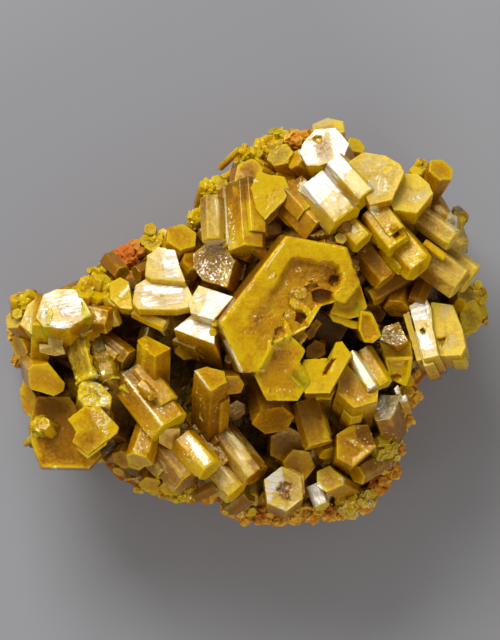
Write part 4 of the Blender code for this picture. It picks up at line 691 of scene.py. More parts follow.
        (spot(-12.6, 2.2, 1.6, 0.5, -8), 20, 0, 0, 0.22, 0.06),
        ([(-5, 3.9), (-2, 3), (-4.3, -0.1), (-6.2, 0)], 20, 0, 0, 0.7, 0.03),
        (spot(-5.7, 3.8, 0.8, 0.5), 20, 0, 0.4, -0.6, 0.05), (spot(-6, 1.6, 0.5, 0.7), 20, 0, 0.4, -0.5, 0.05),
        ([(-9.3, -0.2), (-4.4, 0), (-4.3, -2.9), (-9.4, -1.2)], 20, 0, 0, 0.7, 0.02),
        (spot(-3, 5.6, 0.8, 1.6, 10), 20, 0, 0.3, 0.25, 0.05),
        (spot(-11, -1.6, 0.25, 0.22), 18, 0.05, 0.3, 2, 0, 1),
    ],
    "stepped_pillar": [
        ([(-6.7, -6.4), (-6.3, -6.3), (-4.6, -8.8), (-4.9, -8.9)], 22, 0, 0.3, 1, 0, 1),
        (spot(-6, -10.6, 0.6, 2.4, 8), 16, 0, 0.1, 0.1, 0.3),
        (spot(-3.6, -12.4, 0.9, 2.2, 8), 16, 0, 0.12, 0.1, 0.02),
    ],
    "striated_bars": [
        ([(-8.1, -15.1), (-7.1, -14.4), (-4.9, -16.5), (-5.9, -17.7)], 18, 0, 0, 0.3, 0.08),
        ([(-7.4, -15), (-7.1, -14.8), (-5.2, -17), (-5.5, -17.2)], 18, 0, 0.1, 1.2, 0, 1),
        ([(-5.8, -17.6), (-4.9, -16.6), (-3.6, -17.6), (-4.2, -18.6)], 18, 0, 0.3, 0, 0.02),
        (spot(-7.2, -17.6, 0.6, 1.6, 42), 18, 0, 0.2, 0.25, 0.1),
        ([(-2.4, -14.6), (-1.2, -14.6), (0.8, -18.4), (-0.4, -19.4)], 16, 0, 0.2, 0.3, 0.12),
        (spot(1.6, -18.6, 0.9, 2.2, 45), 16, 0, -0.45, -1, 0.03),
        (spot(-3, -19.6, 1.5, 1.1, -45), 16, 0, 0.1, 0.2, 0.12),
        ([(-7.2, -15.9), (-6.5, -15.4), (-4.6, -17.6), (-5.3, -18.2)], 16, 0, 0.1, 1.2, 0, 1),
        (spot(-2, -21.6, 1, 0.8, -45), 16, 0, 0.1, -1, 0),
    ],
}

# Relief

def lattice(cell, seed):
    """A fixed number from 0 to 1 for each whole-numbered cell."""
    # Large numbers without a common factor, so that cells side by side have nothing in common.
    number = cell[..., 0] * 374761393 + cell[..., 1] * 668265263 + cell[..., 2] * 1440662683 + seed * 974634777
    for factor in (1274126177, 2246822519):
        number = (number ^ (number >> 15)) & 0xFFFFFFFF
        number = (number * factor) & 0xFFFFFFFF
    return (number ^ (number >> 13)) / 4294967295


def swells(points, size, seed=0):
    """Smooth relief from -1 to 1, its swells about size apart."""
    scaled = points / size
    cell = np.floor(scaled).astype(np.int64)
    part = scaled - cell
    part = part * part * (3 - 2 * part)
    total = np.zeros(len(points))
    for corner in np.ndindex(2, 2, 2):
        step = np.array(corner)
        weight = np.prod(np.where(step == 1, part, 1 - part), axis=1)
        total += weight * lattice(cell + step, seed)
    return 2 * total - 1


def facets(points, size, seed=0):
    """Broken relief from -1 to 1: flat facets about size across, each tilted its own way."""
    scaled = points / size
    cell = np.floor(scaled).astype(np.int64)
    best = np.full(len(points), 9.0)
    relief = np.zeros(len(points))
    for corner in np.ndindex(3, 3, 3):
        near = cell + np.array(corner) - 1
        apart = scaled - near - np.stack([lattice(near, seed + k) for k in range(3)], axis=1)
        tilt = np.stack([lattice(near, seed + 3 + k) for k in range(3)], axis=1) * 2 - 1
        distance = np.sum(apart ** 2, axis=1)
        closer = distance < best
        relief = np.where(closer, np.sum(apart * tilt, axis=1), relief)
        best = np.where(closer, distance, best)
    return np.clip(relief, -1, 1)


def smooth(value):
    """A soft step from 0 to 1."""
    value = np.clip(value, 0, 1)
    return value * value * (3 - 2 * value)


def columns(count, *values):
    """Numbers, or lists of count of them, side by side: one row for each point."""
    return np.stack([np.broadcast_to(value, count) for value in values], axis=1)


def grainy(points, finish, relief, number, share, least):
    """A finish's roughness: broken facets where it is coarse, soft swells where it is fine, less near edges."""
    if relief > COARSE:
        return relief * facets(points, finish.grain, number) * (least + (1 - least) * share)
    return relief * swells(points, finish.grain, number) * share


def edge_distance(x, y, outline):
    """Distance of each x, y from the nearest edge of an outline, positive inside it."""
    nearest = np.full(len(x), 1e9)
    inside = np.zeros(len(x), bool)
    for k, (x1, y1) in enumerate(outline):
        x0, y0 = outline[k - 1]
        along = np.clip(((x - x0) * (x1 - x0) + (y - y0) * (y1 - y0)) / ((x1 - x0) ** 2 + (y1 - y0) ** 2), 0, 1)
        nearest = np.minimum(nearest, np.hypot(x - x0 - along * (x1 - x0), y - y0 - along * (y1 - y0)))
        if y0 != y1:
            crossing = x0 + (y - y0) * (x1 - x0) / (y1 - y0)
            inside ^= ((y0 > y) != (y1 > y)) & (x < crossing)
    return np.where(inside, nearest, -nearest)


# Crystals

def directions(crystal):
    """The crystal's long axis and two directions across it."""
    lean = math.radians(crystal.lean)
    heading = math.radians(crystal.heading)
    axis = np.array([math.sin(lean) * math.cos(heading), math.sin(lean) * math.sin(heading), math.cos(lean)])
    down = np.array([math.cos(lean) * math.cos(heading), math.cos(lean) * math.sin(heading), -math.sin(lean)])
    side = np.array([-math.sin(heading), math.cos(heading), 0.0])
    return axis, down, side


def end_corners(crystal):
    """Corners of the end face, anticlockwise from outside."""
    axis, down, side = directions(crystal)
    middle = np.array([crystal.x, crystal.y, crystal.z])
    corners = []
    if crystal.outline:
        for x, y in crystal.outline:
            fall = (axis[0] * (x - crystal.x) + axis[1] * (y - crystal.y)) / axis[2]
            corners.append(np.array([x, y, crystal.z - fall]))
    else:
        for k in range(6):
            first = math.radians(crystal.corner - crystal.heading + 30 + 60 * k)
            second = first + math.radians(60)
            across = (crystal.flat * math.sin(second) - crystal.flat * math.sin(first)) / math.sin(second - first)
            along = (crystal.flat * math.cos(first) - crystal.flat * math.cos(second)) / math.sin(second - first)
            corners.append(middle + down * across + side * along)
    turn = sum(np.cross(corners[k - 1] - middle, corners[k] - middle) for k in range(len(corners)))
    if turn @ axis < 0:
        corners.reverse()
    return np.array(corners)


def outline_ring(corners, axis, edge, spacing, arc=0.6):
    """Points round an end face, set in by the rounding of its edges: place, way out, distance from the
    nearest corner, distance round and side number."""
    count = len(corners)
    ways = []
    for k in range(count):
        way = np.cross(corners[(k + 1) % count] - corners[k], axis)
        ways.append(way / np.linalg.norm(way))
    inner = [corners[k] - edge * (ways[k - 1] + ways[k]) / (1 + ways[k - 1] @ ways[k]) for k in range(count)]
    ring = []
    round_about = 0.0
    for k in range(count):
        before, after = ways[k - 1], ways[k]
        turn = math.atan2(np.cross(before, after) @ axis, before @ after)
        if turn > 0.15:
            for share in np.linspace(0, 1, 2 + int(turn / arc)):
                way = before * (1 - share) + after * share
                ring.append((inner[k], way / np.linalg.norm(way), 0.0, round_about, k))
        else:
            ring.append((inner[k], (before + after) / (1 + before @ after), 0.0, round_about, k))
        start, end = inner[k], inner[(k + 1) % count]
        span = np.linalg.norm(end - start)
        steps = max(1, round(span / spacing))
        for step in range(1, steps):
            share = step / steps
            ring.append((start + (end - start) * share, after, min(share, 1 - share) * span,
                         round_about + share * span, k))
        round_about += span
    return [np.array(column) for column in zip(*ring)]


def plain_end(crystal, points, inward, number):
    """Height of an end face: a faint raised rim, growth terraces and the pit of a hollow crystal."""
    finish = FINISHES[crystal.look[0]]
    wander = swells(points, 1.1, number)
    height = RIM_HEIGHT * np.exp(-(inward / 0.3) ** 2)
    for inset, swing in TERRACES:
        height -= TERRACE_DROP * smooth((inward - inset - swing * wander) / 0.12)
    if crystal.pit:
        height -= crystal.pit * smooth((inward - crystal.rim - 0.15 * wander) / 0.2)
    relief = max(crystal.rough, finish.relief)
    height += grainy(points, finish, relief, number, smooth(inward / 0.35), 0.35)
    return height, -0.12 * smooth(inward / 1.5)


def great_end(crystal, points, inward, number):
    """Height of the great crystal's end: a broad rim and a waxy floor that falls to the upper right."""
    x = points[:, 0] + 0.22 * swells(points, 0.8, 5)
    y = points[:, 1] + 0.22 * swells(points, 0.8, 6)
    inside = edge_distance(x, y, HOLLOW_EDGE)
    share = ((x - HOLLOW_EDGE[0][0]) * HOLLOW_FALL[0] + (y - HOLLOW_EDGE[0][1]) * HOLLOW_FALL[1]) / HOLLOW_SPAN
    share = np.clip(share, 0, 1)
    height = -(0.1 + HOLLOW_DEEP * 0.55 * share) * smooth(inside / (2.8 - 2.1 * smooth(share * 1.6)))
    rough = smooth((inside - 0.1) / 0.8)
    height += rough * (0.05 * facets(points, 0.5, 31) + 0.1 * swells(points, 1.2, 33)
                       + 0.03 * facets(points, 0.3, 34))
    height += 0.03 * swells(points, 0.7, 35) + 0.03 * facets(points, 0.45, 36)
    # Tone: the floor is lower in tone than the rim, and the further drop towards the deep upper right is painted
    # shade.
    tone = 0.12 - 0.16 * smooth(inside / 0.7) - 0.16 * share * smooth(inside / 0.7) + 0.12 * swells(points, 1.1, 43)
    return height, tone


def side_relief(crystal, ring, depth, points, number):
    """How far a side stands out at one depth below the end: barrel bend, growth steps, lines and grain."""
    outward, away, around, side = ring[1:]
    finish = FINISHES[crystal.look[1]]
    middle = crystal.length / 2
    bulge = math.radians(crystal.bend) / crystal.length * (depth * middle - depth * depth / 2)
    flat_part = smooth(away / 0.3)
    lines = max(crystal.lines, finish.lines)
    steps = max(crystal.steps, finish.steps)
    relief = max(crystal.rough, finish.relief)
    along = columns(len(around), around / 0.3, depth / 5, side * 9.0 + number)
    out = bulge + lines * swells(along, 1.0, 51)
    wander = 0.25 * swells(points, 1.2, number + 7)
    level = np.floor((depth + wander) / 0.55).astype(np.int64)
    out = out - steps * lattice(columns(len(level), level, side.astype(np.int64), number), 61)
    return out + grainy(points, finish, relief, number, flat_part, 0.3)


def ring_faces(count, rings):
    """Faces between rings of count points, with one point before the first ring and one after the last."""
    steps = np.arange(count)
    after = (steps + 1) % count
    faces = [[0, 1 + k, 1 + (k + 1) % count] for k in range(count)]
    for level in range(rings - 1):
        first = 1 + level * count
        second = first + count
        faces += np.stack([first + steps, second + steps, second + after, first + after], axis=1).tolist()
    last = 1 + (rings - 1) * count
    foot = 1 + rings * count
    return faces + [[foot, last + (k + 1) % count, last + k] for k in range(count)]


def chipped(points, deepest, number):
    """How much has chipped off an edge at each point."""
    return deepest * smooth((swells(points, 0.55, number + 3) - 0.15) / 0.4)


def kind_of(letter):
    """A finish's material, as its number among the materials of every piece."""
    return MATERIAL_ORDER.index(FINISHES[letter].material)


def crystal_shape(crystal, number, spacing=0.29, edge=0.14, centre=None, end_height=plain_end, corners=None,
                  length=None):
    """Points, faces, finish of each face, and the zones and growth coordinates of one crystal."""
    axis, down, side = directions(crystal)
    corners = end_corners(crystal) if corners is None else corners
    length = crystal.length if length is None else length
    chip = CHIPS[FINISHES[crystal.look[1]].material]
    spans = np.linalg.norm(corners - np.roll(corners, 1, axis=0), axis=1)
    edge = min(edge, 0.3 * spans.min())
    tiny = spacing > 0.5
    ring = outline_ring(corners, axis, edge, spacing, 1.2 if tiny else 0.6)
    place, outward, away, around, side_number = ring
    count = len(place)
    middle = corners.mean(axis=0) if centre is None else np.array(centre)
    border = place + 0.3 * edge * outward
    radius = np.linalg.norm(border - middle, axis=1).mean()
    parts = max(2 if tiny else 4, round(radius / spacing))
    shares = list(np.linspace(0, 1, parts + 1)[1:-1]) + [1 - 0.06 / radius, 1.0]
    flat_corners = [(corner @ down, corner @ side) for corner in corners]
    top_tone = FINISHES[crystal.look[0]].tone + crystal.tone
    side_tone = FINISHES[crystal.look[1]].tone * SIDE_TONE + crystal.tone
    own = number * GROWTH_GAP
    # Zones at each point: painted edge glow, painted shade in hollows and down the sides, tone, and frost with
    # painted highlight.
    points, zones, grown = [middle[None, :]], [[[0.0, 0.0, top_tone, 0.0]]], [[[0.0, 0.0, own]]]
    for share in shares:
        level = middle + (border - middle) * share
        inward = np.abs(edge_distance(level @ down, level @ side, flat_corners))
        height, tone = end_height(crystal, level, inward, number)
        points.append(level + axis * height[:, None])
        zones.append(columns(count, np.exp(-inward / EDGE_GLOW), np.clip(-height / HOLLOW_SHADE_DEPTH, 0, 1),
                             top_tone + tone, 0.0))
        grown.append(columns(count, level @ down, level @ side, own))
    border_height = height
    points[0] = points[1].mean(axis=0)[None, :]
    for turn in (45,) if tiny else (22, 44, 66):
        bend = math.radians(turn)
        level = place + edge * (math.sin(bend) * outward - (1 - math.cos(bend)) * axis)
        level = level + axis * (border_height * math.cos(bend))[:, None]
        level = level - (outward * 0.7 + axis) * chipped(level, chip, number)[:, None]
        points.append(level)
        # Full painted edge glow on the rounded edge.
        zones.append(columns(count, 1.0, 0.0, top_tone, 0.0))
        grown.append(columns(count, level @ down, level @ side, own))
    end_rings = len(points) - 1
    depths = [edge]
    while depths[-1] < length - 0.5:
        depths.append(depths[-1] + spacing * (1 if depths[-1] < 1.0 else 1.8 if depths[-1] < 4 else 4))
    for depth in depths + [length]:
        level = place + edge * outward - axis * depth
        out = side_relief(crystal, ring, depth, level, number)
        if depth < 0.5:
            out = out - chipped(level, chip, number)
        points.append(level + outward * out[:, None])
        # On the sides: a weaker painted glow near the end, and painted shade that deepens towards the root.
        glow = SIDE_GLOW * np.exp(-np.minimum(depth, away) / EDGE_GLOW)
        zones.append(columns(count, glow, min(1, depth / ROOT_SHADE_DEPTH), side_tone, 0.0))
        grown.append(columns(count, around, -depth, side_number * 5.0 + own))
    points.append(middle[None, :] - axis * length)
    zones.append([[0.0, 1.0, side_tone, 0.0]])
    grown.append([[0.0, 0.0, own]])
    rings = len(points) - 2
    kinds = [kind_of(crystal.look[0])] * (count * end_rings)
    kinds += [kind_of(crystal.look[1])] * (count * (rings + 1 - end_rings))
    return np.vstack(points), ring_faces(count, rings), kinds, np.vstack(zones), np.vstack(grown)


def parallel_growths(crystal, draw, number):
    """Smaller crystals grown on a crystal in its own direction: steps on its sides and plates on its end. The
    larger it is, the more of them."""
    axis = directions(crystal)[0]
    corners = end_corners(crystal)
    middle = corners.mean(axis=0)
    size = np.linalg.norm(corners - middle, axis=1).mean()
    made = []
    count = 0 if size < 1.2 else draw.choice((0, 0, 1)) if size < 1.9 else draw.choice((0, 1, 1, 2))
    for _ in range(count):
        k = draw.randrange(len(corners))
        share = draw.uniform(0.45, 0.8)
        pull = corners[k] - middle
        shift = pull * (1 - share) + pull / size * draw.uniform(0.32, 0.65)
        drop = draw.uniform(0.12, 0.5) * crystal.length
        moved = middle + shift - axis * drop + (corners - middle) * share
        made.append((moved, crystal.length - drop))
    if count and not crystal.outline and crystal.look[0] in "fso" and draw.random() < 0.35:
        k = draw.randrange(len(corners))
        share = draw.uniform(0.5, 0.8)
        shift = (corners[k] - middle) * (0.95 - share) + axis * draw.uniform(0.04, 0.14)
        made.append((middle + shift + (corners - middle) * share, 0.6))
    return [crystal_shape(crystal, number * 10 + k, spacing=0.36, edge=0.08, corners=moved, length=length)
            for k, (moved, length) in enumerate(made)]


def joined(shapes):
    """Several shapes as one list of points and faces."""
    points, faces, kinds, zones, grown = [], [], [], [], []
    start = 0
    for shape in shapes:
        points.append(shape[0])
        faces += [[start + corner for corner in face] for face in shape[1]]
        kinds += shape[2]
        zones.append(shape[3])
        grown.append(shape[4])
        start += len(shape[0])
    return [np.vstack(points), faces, kinds, np.vstack(zones), np.vstack(grown)]


def touch_up(shape, touches):
    """Raises, sinks, roughens, frosts or tints the surface inside ragged outlines drawn from above."""
    points, zones = shape[0], shape[3]
    start = points.copy()
    x = start[:, 0] + 0.18 * swells(start, 0.6, 73) + 0.08 * facets(start, 0.35, 75)
    y = start[:, 1] + 0.18 * swells(start, 0.6, 74) + 0.08 * facets(start, 0.35, 76)
    grain = 0.6 * facets(start, 0.7, 77) + 0.4 * facets(start, 0.35, 78)
    for outline, lowest, rise, tone, frost_and_highlight, rough, *crisp in touches:
        inside = edge_distance(start[:, 0], start[:, 1], outline) if crisp else edge_distance(x, y, outline)
        share = smooth(inside / 0.16 + 0.4) * (start[:, 2] > lowest)
        points[:, 2] += share * (rise + rough * grain)
        zones[:, 2] += tone * share
        zones[:, 3] += frost_and_highlight * share


def make_piece(name, shape, materials, replaced):
    """A mesh object from a shape, with its zones, riding with the specimen in place of a solid."""
    points, faces, kinds, zones, grown = shape
    low = np.array(CAD_BOX[0]) / MM + BOX_MARGIN
    high = np.array(CAD_BOX[1]) / MM - BOX_MARGIN
    mesh = bpy.data.meshes.new(name)
    mesh.from_pydata((np.clip(points, low, high) * MM).tolist(), [], faces)
    for material in materials:
        mesh.materials.append(material)
    mesh.polygons.foreach_set("material_index", np.array(kinds, np.int32))
    mesh.polygons.foreach_set("use_smooth", np.ones(len(faces), bool))
    for label, kind, field, values in (("zones", "FLOAT_COLOR", "color", zones),
                                       ("grown", "FLOAT_VECTOR", "vector", grown)):
        layer = mesh.attributes.new(label, kind, "POINT")
        layer.data.foreach_set(field, values.astype(np.float32).ravel())
    mesh.update()
    mesh.set_sharp_from_angle(angle=math.radians(SHARP_ANGLE))
    made = bpy.data.objects.new(name, mesh)
    bpy.context.scene.collection.objects.link(made)
    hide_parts(replaced)
    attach(made, "root")


# Crust, flank and matrix

def reach(outline, angle):
    """How far the outline lies from the specimen's middle in one direction."""
    ray = (math.cos(angle), math.sin(angle))
    farthest = 0.0
    for k, (x, y) in enumerate(outline):
        start = outline[k - 1]
        edge = (x - start[0], y - start[1])
        turn = ray[0] * edge[1] - ray[1] * edge[0]
        if abs(turn) < 1e-9:
            continue
        distance = (start[0] * edge[1] - start[1] * edge[0]) / turn
        share = (start[0] * ray[1] - start[1] * ray[0]) / turn
        if distance > farthest and -1e-9 <= share <= 1 + 1e-9:
            farthest = distance
    return farthest


def crust_height(x, y, crystals):
    """Height of the massive crust: always below the middles of the crystals that rise from it."""
    height = np.full(x.shape, TALLEST)
    for crystal in crystals:
        half_width = crystal.flat
        if crystal.outline:
            spans = [math.hypot(px - crystal.x, py - crystal.y) for px, py in crystal.outline]
            half_width = sum(spans) / len(spans)
        middle = np.array([crystal.x, crystal.y, crystal.z])
        middle = middle - directions(crystal)[0] * crystal.length * CRUST_REACH
        apart = np.maximum(0.0, np.hypot(x - middle[0], y - middle[1]) - half_width / 2)
        height = np.minimum(height, middle[2] - CRUST_SINK + CRUST_SLOPE * apart)
    for hollow_x, hollow_y, radius, floor in HOLLOWS:
        apart = np.maximum(0.0, np.hypot(x - hollow_x, y - hollow_y) - radius)
        height = np.minimum(height, floor + HOLLOW_SLOPE * apart)
    return height


def crust_shape(crystals):
    """The massive crust of intergrown crystals that all the others rise from."""
    angles = 2 * np.pi * np.arange(CRUST_FINE_SPOKES) / CRUST_FINE_SPOKES
    edge = []
    for angle in angles:
        radius = reach(MATRIX_OUTLINE, angle) - CRUST_INSET
        for bare_x, bare_y, clear in BARE_EDGES:
            while math.hypot(radius * math.cos(angle) - bare_x, radius * math.sin(angle) - bare_y) < clear:
                radius -= EDGE_STEP
        edge.append(radius)
    edge = np.array(edge)
    for _ in range(6):
        edge = (np.roll(edge, 1) + 2 * edge + np.roll(edge, -1)) / 4
    points = [[[0, 0, CRUST_FOOT]]]
    count = len(angles)
    levels = [(1.0, rise) for rise in np.linspace(0, 0.9, 10)]
    levels += [(share, 1.0) for share in np.linspace(1, 0.02, CRUST_FINE_RINGS)]
    for share, rise in levels:
        radius = edge * share
        ring = columns(count, radius * np.cos(angles), radius * np.sin(angles), 9.0 * rise)
        radius = radius + (0.5 * facets(ring, 1.6, 8) + 0.3 * facets(ring, 0.7, 9)) * smooth((share - 0.8) / 0.2)
        x, y = radius * np.cos(angles), radius * np.sin(angles)
        z = np.minimum(crust_height(x, y, crystals), CRUST_EDGE_HEIGHT + (edge - radius) * CRUST_SHOULDER)
        flat = columns(count, x, y, z)
        z = z + 0.5 * facets(flat, 2.2, 5) + 0.25 * facets(flat, 0.9, 6)
        z = CRUST_FOOT + (np.maximum(z, CRUST_FOOT + CRUST_SINK) - CRUST_FOOT) * rise
        points.append(columns(count, x, y, z))
    points.append([[0, 0, float(points[-1][:, 2].mean())]])
    faces = [face[:1] + face[:0:-1] for face in ring_faces(count, len(levels))]
    points = np.vstack(points)
    # The whole crust has part of the painted root shade, as it lies under and between the crystals.
    zones = np.tile([0.0, 0.4, 0.25, 0.0], (len(points), 1))
    return points, faces, [kind_of("o")] * len(faces), zones, points.copy()


def flank_crystals():
    """Small crystals round the edge of the crust, leaning outward, clear of the bare limonite."""
    draw = random.Random(FLANK_SEED)
    made = []
    for k in range(FLANK_COUNT):
        angle = 2 * math.pi * (k + draw.uniform(-0.4, 0.4)) / FLANK_COUNT
        radius = reach(MATRIX_OUTLINE, angle) - draw.uniform(*FLANK_INSETS)
        x = radius * math.cos(angle)
        y = radius * math.sin(angle)
        z = draw.uniform(*FLANK_HEIGHTS)
        flat = draw.uniform(*FLANK_SIZES)
        heading = math.degrees(angle) + draw.uniform(-FLANK_SWING, FLANK_SWING)
        lean = draw.uniform(*FLANK_LEANS)
        corner = draw.uniform(0, 60)
        if all(math.hypot(x - bare_x, y - bare_y) > clear for bare_x, bare_y, clear in BARE_EDGES):
            made.append(prism(x, y, z, lean, heading, corner, flat, FLANK_LENGTH, "hb", tone=-0.1))
    return made


def small_crystals():
    """Many small crystals: a band round the flank, and clusters where the photo shows them."""
    draw = random.Random(BAND_SEED)
    made = []
    for k in range(BAND_COUNT):
        angle = 2 * math.pi * (k + draw.random()) / BAND_COUNT
        z = draw.uniform(*BAND_HEIGHTS)
        radius = reach(MATRIX_OUTLINE, angle) - BAND_INSET - draw.uniform(0.0, 1.0) - 0.35 * max(0.0, z - 12)
        x = radius * math.cos(angle)
        y = radius * math.sin(angle)
        heading = math.degrees(angle) + draw.uniform(-BAND_SWING, BAND_SWING)
        bare = any(math.hypot(x - bare_x, y - bare_y) < clear - 0.4 for bare_x, bare_y, clear in BARE_EDGES)
        flat = draw.uniform(*BAND_SIZES)
        look = draw.choice(("hb", "oo", "yh", "hh") if y > 0 else ("hb", "bb", "bb", "hh"))
        lean = draw.uniform(*BAND_LEANS)
        corner = draw.uniform(0, 60)
        if not bare:
            made.append(prism(x, y, z, lean, heading, corner, flat, 1.6 + 2 * flat, look, tone=-0.1))
    for x, y, z, spread, heading, count in CLUMPS:
        # Below DRUSE_EDGE, paler finishes: painted light.
        looks = ("wy", "yy", "fy", "yy", "wy") if y < DRUSE_EDGE else ("oy", "yy", "oo", "yy", "hy")
        for _ in range(count):
            px = x + draw.uniform(-0.8, 0.8) * spread
            py = y + draw.uniform(-0.8, 0.8) * spread
            flat = draw.uniform(*CLUMP_SIZES)
            look = draw.choice(looks)
            made.append(prism(px, py, z + draw.uniform(-1.2, 0.3), draw.uniform(10, 65 if y > 0 else 40),
                              heading + draw.uniform(-CLUMP_SWING, CLUMP_SWING), draw.uniform(0, 60), flat,
                              CLUMP_LENGTH, look, tone=draw.uniform(*CLUMP_TONES)))
    return made


def cavity_crystals(crystals):
    """Small crystals on the crust in the cavities between the large ones, darkened: painted shade."""
    draw = random.Random(CAVITY_SEED)
    made = []
    for _ in range(CAVITY_COUNT):
        angle = draw.uniform(0, 2 * math.pi)
        radius = (reach(MATRIX_OUTLINE, angle) - CAVITY_INSET) * math.sqrt(draw.random())
        x, y = radius * math.cos(angle), radius * math.sin(angle)
        z = float(crust_height(np.array([x]), np.array([y]), crystals)[0])
        flat = draw.uniform(*CAVITY_SIZES)
        made.append(prism(x, y, z + draw.uniform(*CAVITY_RISE), draw.uniform(*CAVITY_LEANS), draw.uniform(0, 360),
                          draw.uniform(0, 60), flat, CAVITY_LENGTH, draw.choice(("hb", "bb", "fb", "ob")),
                          tone=draw.uniform(*CAVITY_SHADE_TONES)))
    return made


def lumps(places, size, crystalline):
    """Granular masses round the places given, of crystals or of limonite."""
    shapes = []
    for x, y, z, spread, *more in places:
        blob = bmesh.new()
        bmesh.ops.create_icosphere(blob, subdivisions=4, radius=1.0)
        points = np.array([corner.co for corner in blob.verts])
        faces = [[corner.index for corner in face.verts] for face in blob.faces]
        blob.free()
        swollen = points * (size * spread + 0.5) + np.array([x, y, z - LUMP_SINK])
        out = 0.45 * facets(swollen, 1.0, 90) + 0.25 * facets(swollen, 0.45, 91) + 0.3 * swells(swollen, 1.4, 92)
        swollen = swollen + points * out[:, None]
        # Paler where the surface swells out and darker in its dips: painted light and shade.
        level = np.clip(out + 0.6, 0, 1.3)
        tone = 0.6 + 0.5 * out if crystalline else sum(more)
        frost_and_highlight = DRUSE_PAINTED_GLINTS if crystalline and y < DRUSE_EDGE else 0.0
        zones = columns(len(out), level, 0.0, tone, frost_and_highlight)
        shapes.append((swollen, faces, [0] * len(faces), zones, swollen.copy()))
    return joined(shapes)


def matrix_shape():
    """The limonite, from its solid: flat sawn base, and granular everywhere else."""
    shape = bmesh.new()
    shape.from_mesh(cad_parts["limonite_matrix"].data)
    bmesh.ops.remove_doubles(shape, verts=shape.verts[:], dist=1e-6)
    bmesh.ops.subdivide_edges(shape, edges=shape.edges[:], cuts=7, use_grid_fill=True)
    shape.normal_update()
    shape.verts.ensure_lookup_table()
    points = np.array([corner.co for corner in shape.verts]) / MM
    ways = np.array([corner.normal for corner in shape.verts])
    faces = [[corner.index for corner in face.verts] for face in shape.faces]
    shape.free()
    low = points[:, 2].min()
    craggy = smooth((points[:, 2] - low - 0.02) / 0.6)
    out = 0.35 * facets(points, 1.5, 81) + 0.22 * facets(points, 0.6, 82) + 0.25 * swells(points, 3.0, 83) - 0.2
    points = points + ways * (out * craggy)[:, None]
    # Paler where the surface swells out and darker in its dips: painted light and shade; the sawn base has its own
    # colour.
    zones = columns(len(points), np.clip(out + 0.4, 0, 1), 0.0, 0.0, 1 - craggy)
    return points, faces, [0] * len(faces), zones, points.copy()


# Materials

def feed(tree, socket, value):
    """Links another node's output to a socket, or sets the socket's own value."""
    if isinstance(value, bpy.types.NodeSocket):
        tree.links.new(value, socket)
    else:
        socket.default_value = value


def wire(tree, kind, **sockets):
    """A shader node; a name after set_ is a setting, at0 and at1 are inputs by number, the rest inputs by name."""
    node = tree.nodes.new(kind)
    for key, value in sockets.items():
        if key.startswith("set_"):
            setattr(node, key[4:], value)
    for key, value in sockets.items():
        if key in ("at0", "at1"):
            feed(tree, node.inputs[int(key[2:])], value)
        elif not key.startswith("set_"):
            feed(tree, node.inputs[key.replace("_", " ")], value)
    return node


def sum_of(tree, first, second, kind="ADD", clamp=False):
    """Two numbers put together."""
    return wire(tree, "ShaderNodeMath", set_operation=kind, set_use_clamp=clamp, at0=first, at1=second).outputs[0]


def blend_colors(tree, share, first, second):
    """Two colours mixed by a share."""
    node = wire(tree, "ShaderNodeMix", set_data_type="RGBA")
    for name, value in (("Factor_Float", share), ("A_Color", first), ("B_Color", second)):
        feed(tree, next(one for one in node.inputs if one.identifier == name), value)
    return next(one for one in node.outputs if one.identifier == "Result_Color")


def soft_step(tree, value, low, high):
    """0 below low, 1 above high, soft between."""
    return wire(tree, "ShaderNodeMapRange", set_interpolation_type="SMOOTHSTEP", Value=value, From_Min=low,
                From_Max=high).outputs["Result"]


def new_material(name):
    """An empty material: the material, its nodes and its shader."""
    material = bpy.data.materials.new(name)
    material.use_nodes = True
    return material, material.node_tree, material.node_tree.nodes["Principled BSDF"]


def new_group(name, inputs, outputs):
    """An empty node group with named sockets."""
    group = bpy.data.node_groups.new(name, "ShaderNodeTree")
    kinds = {"value": "NodeSocketFloat", "color": "NodeSocketColor", "vector": "NodeSocketVector"}
    for label, kind, start in inputs:
        socket = group.interface.new_socket(name=label, in_out="INPUT", socket_type=kinds[kind])
        socket.default_value = start
    for label, kind in outputs:
        group.interface.new_socket(name=label, in_out="OUTPUT", socket_type=kinds[kind])
    return group, group.nodes.new("NodeGroupInput"), group.nodes.new("NodeGroupOutput")


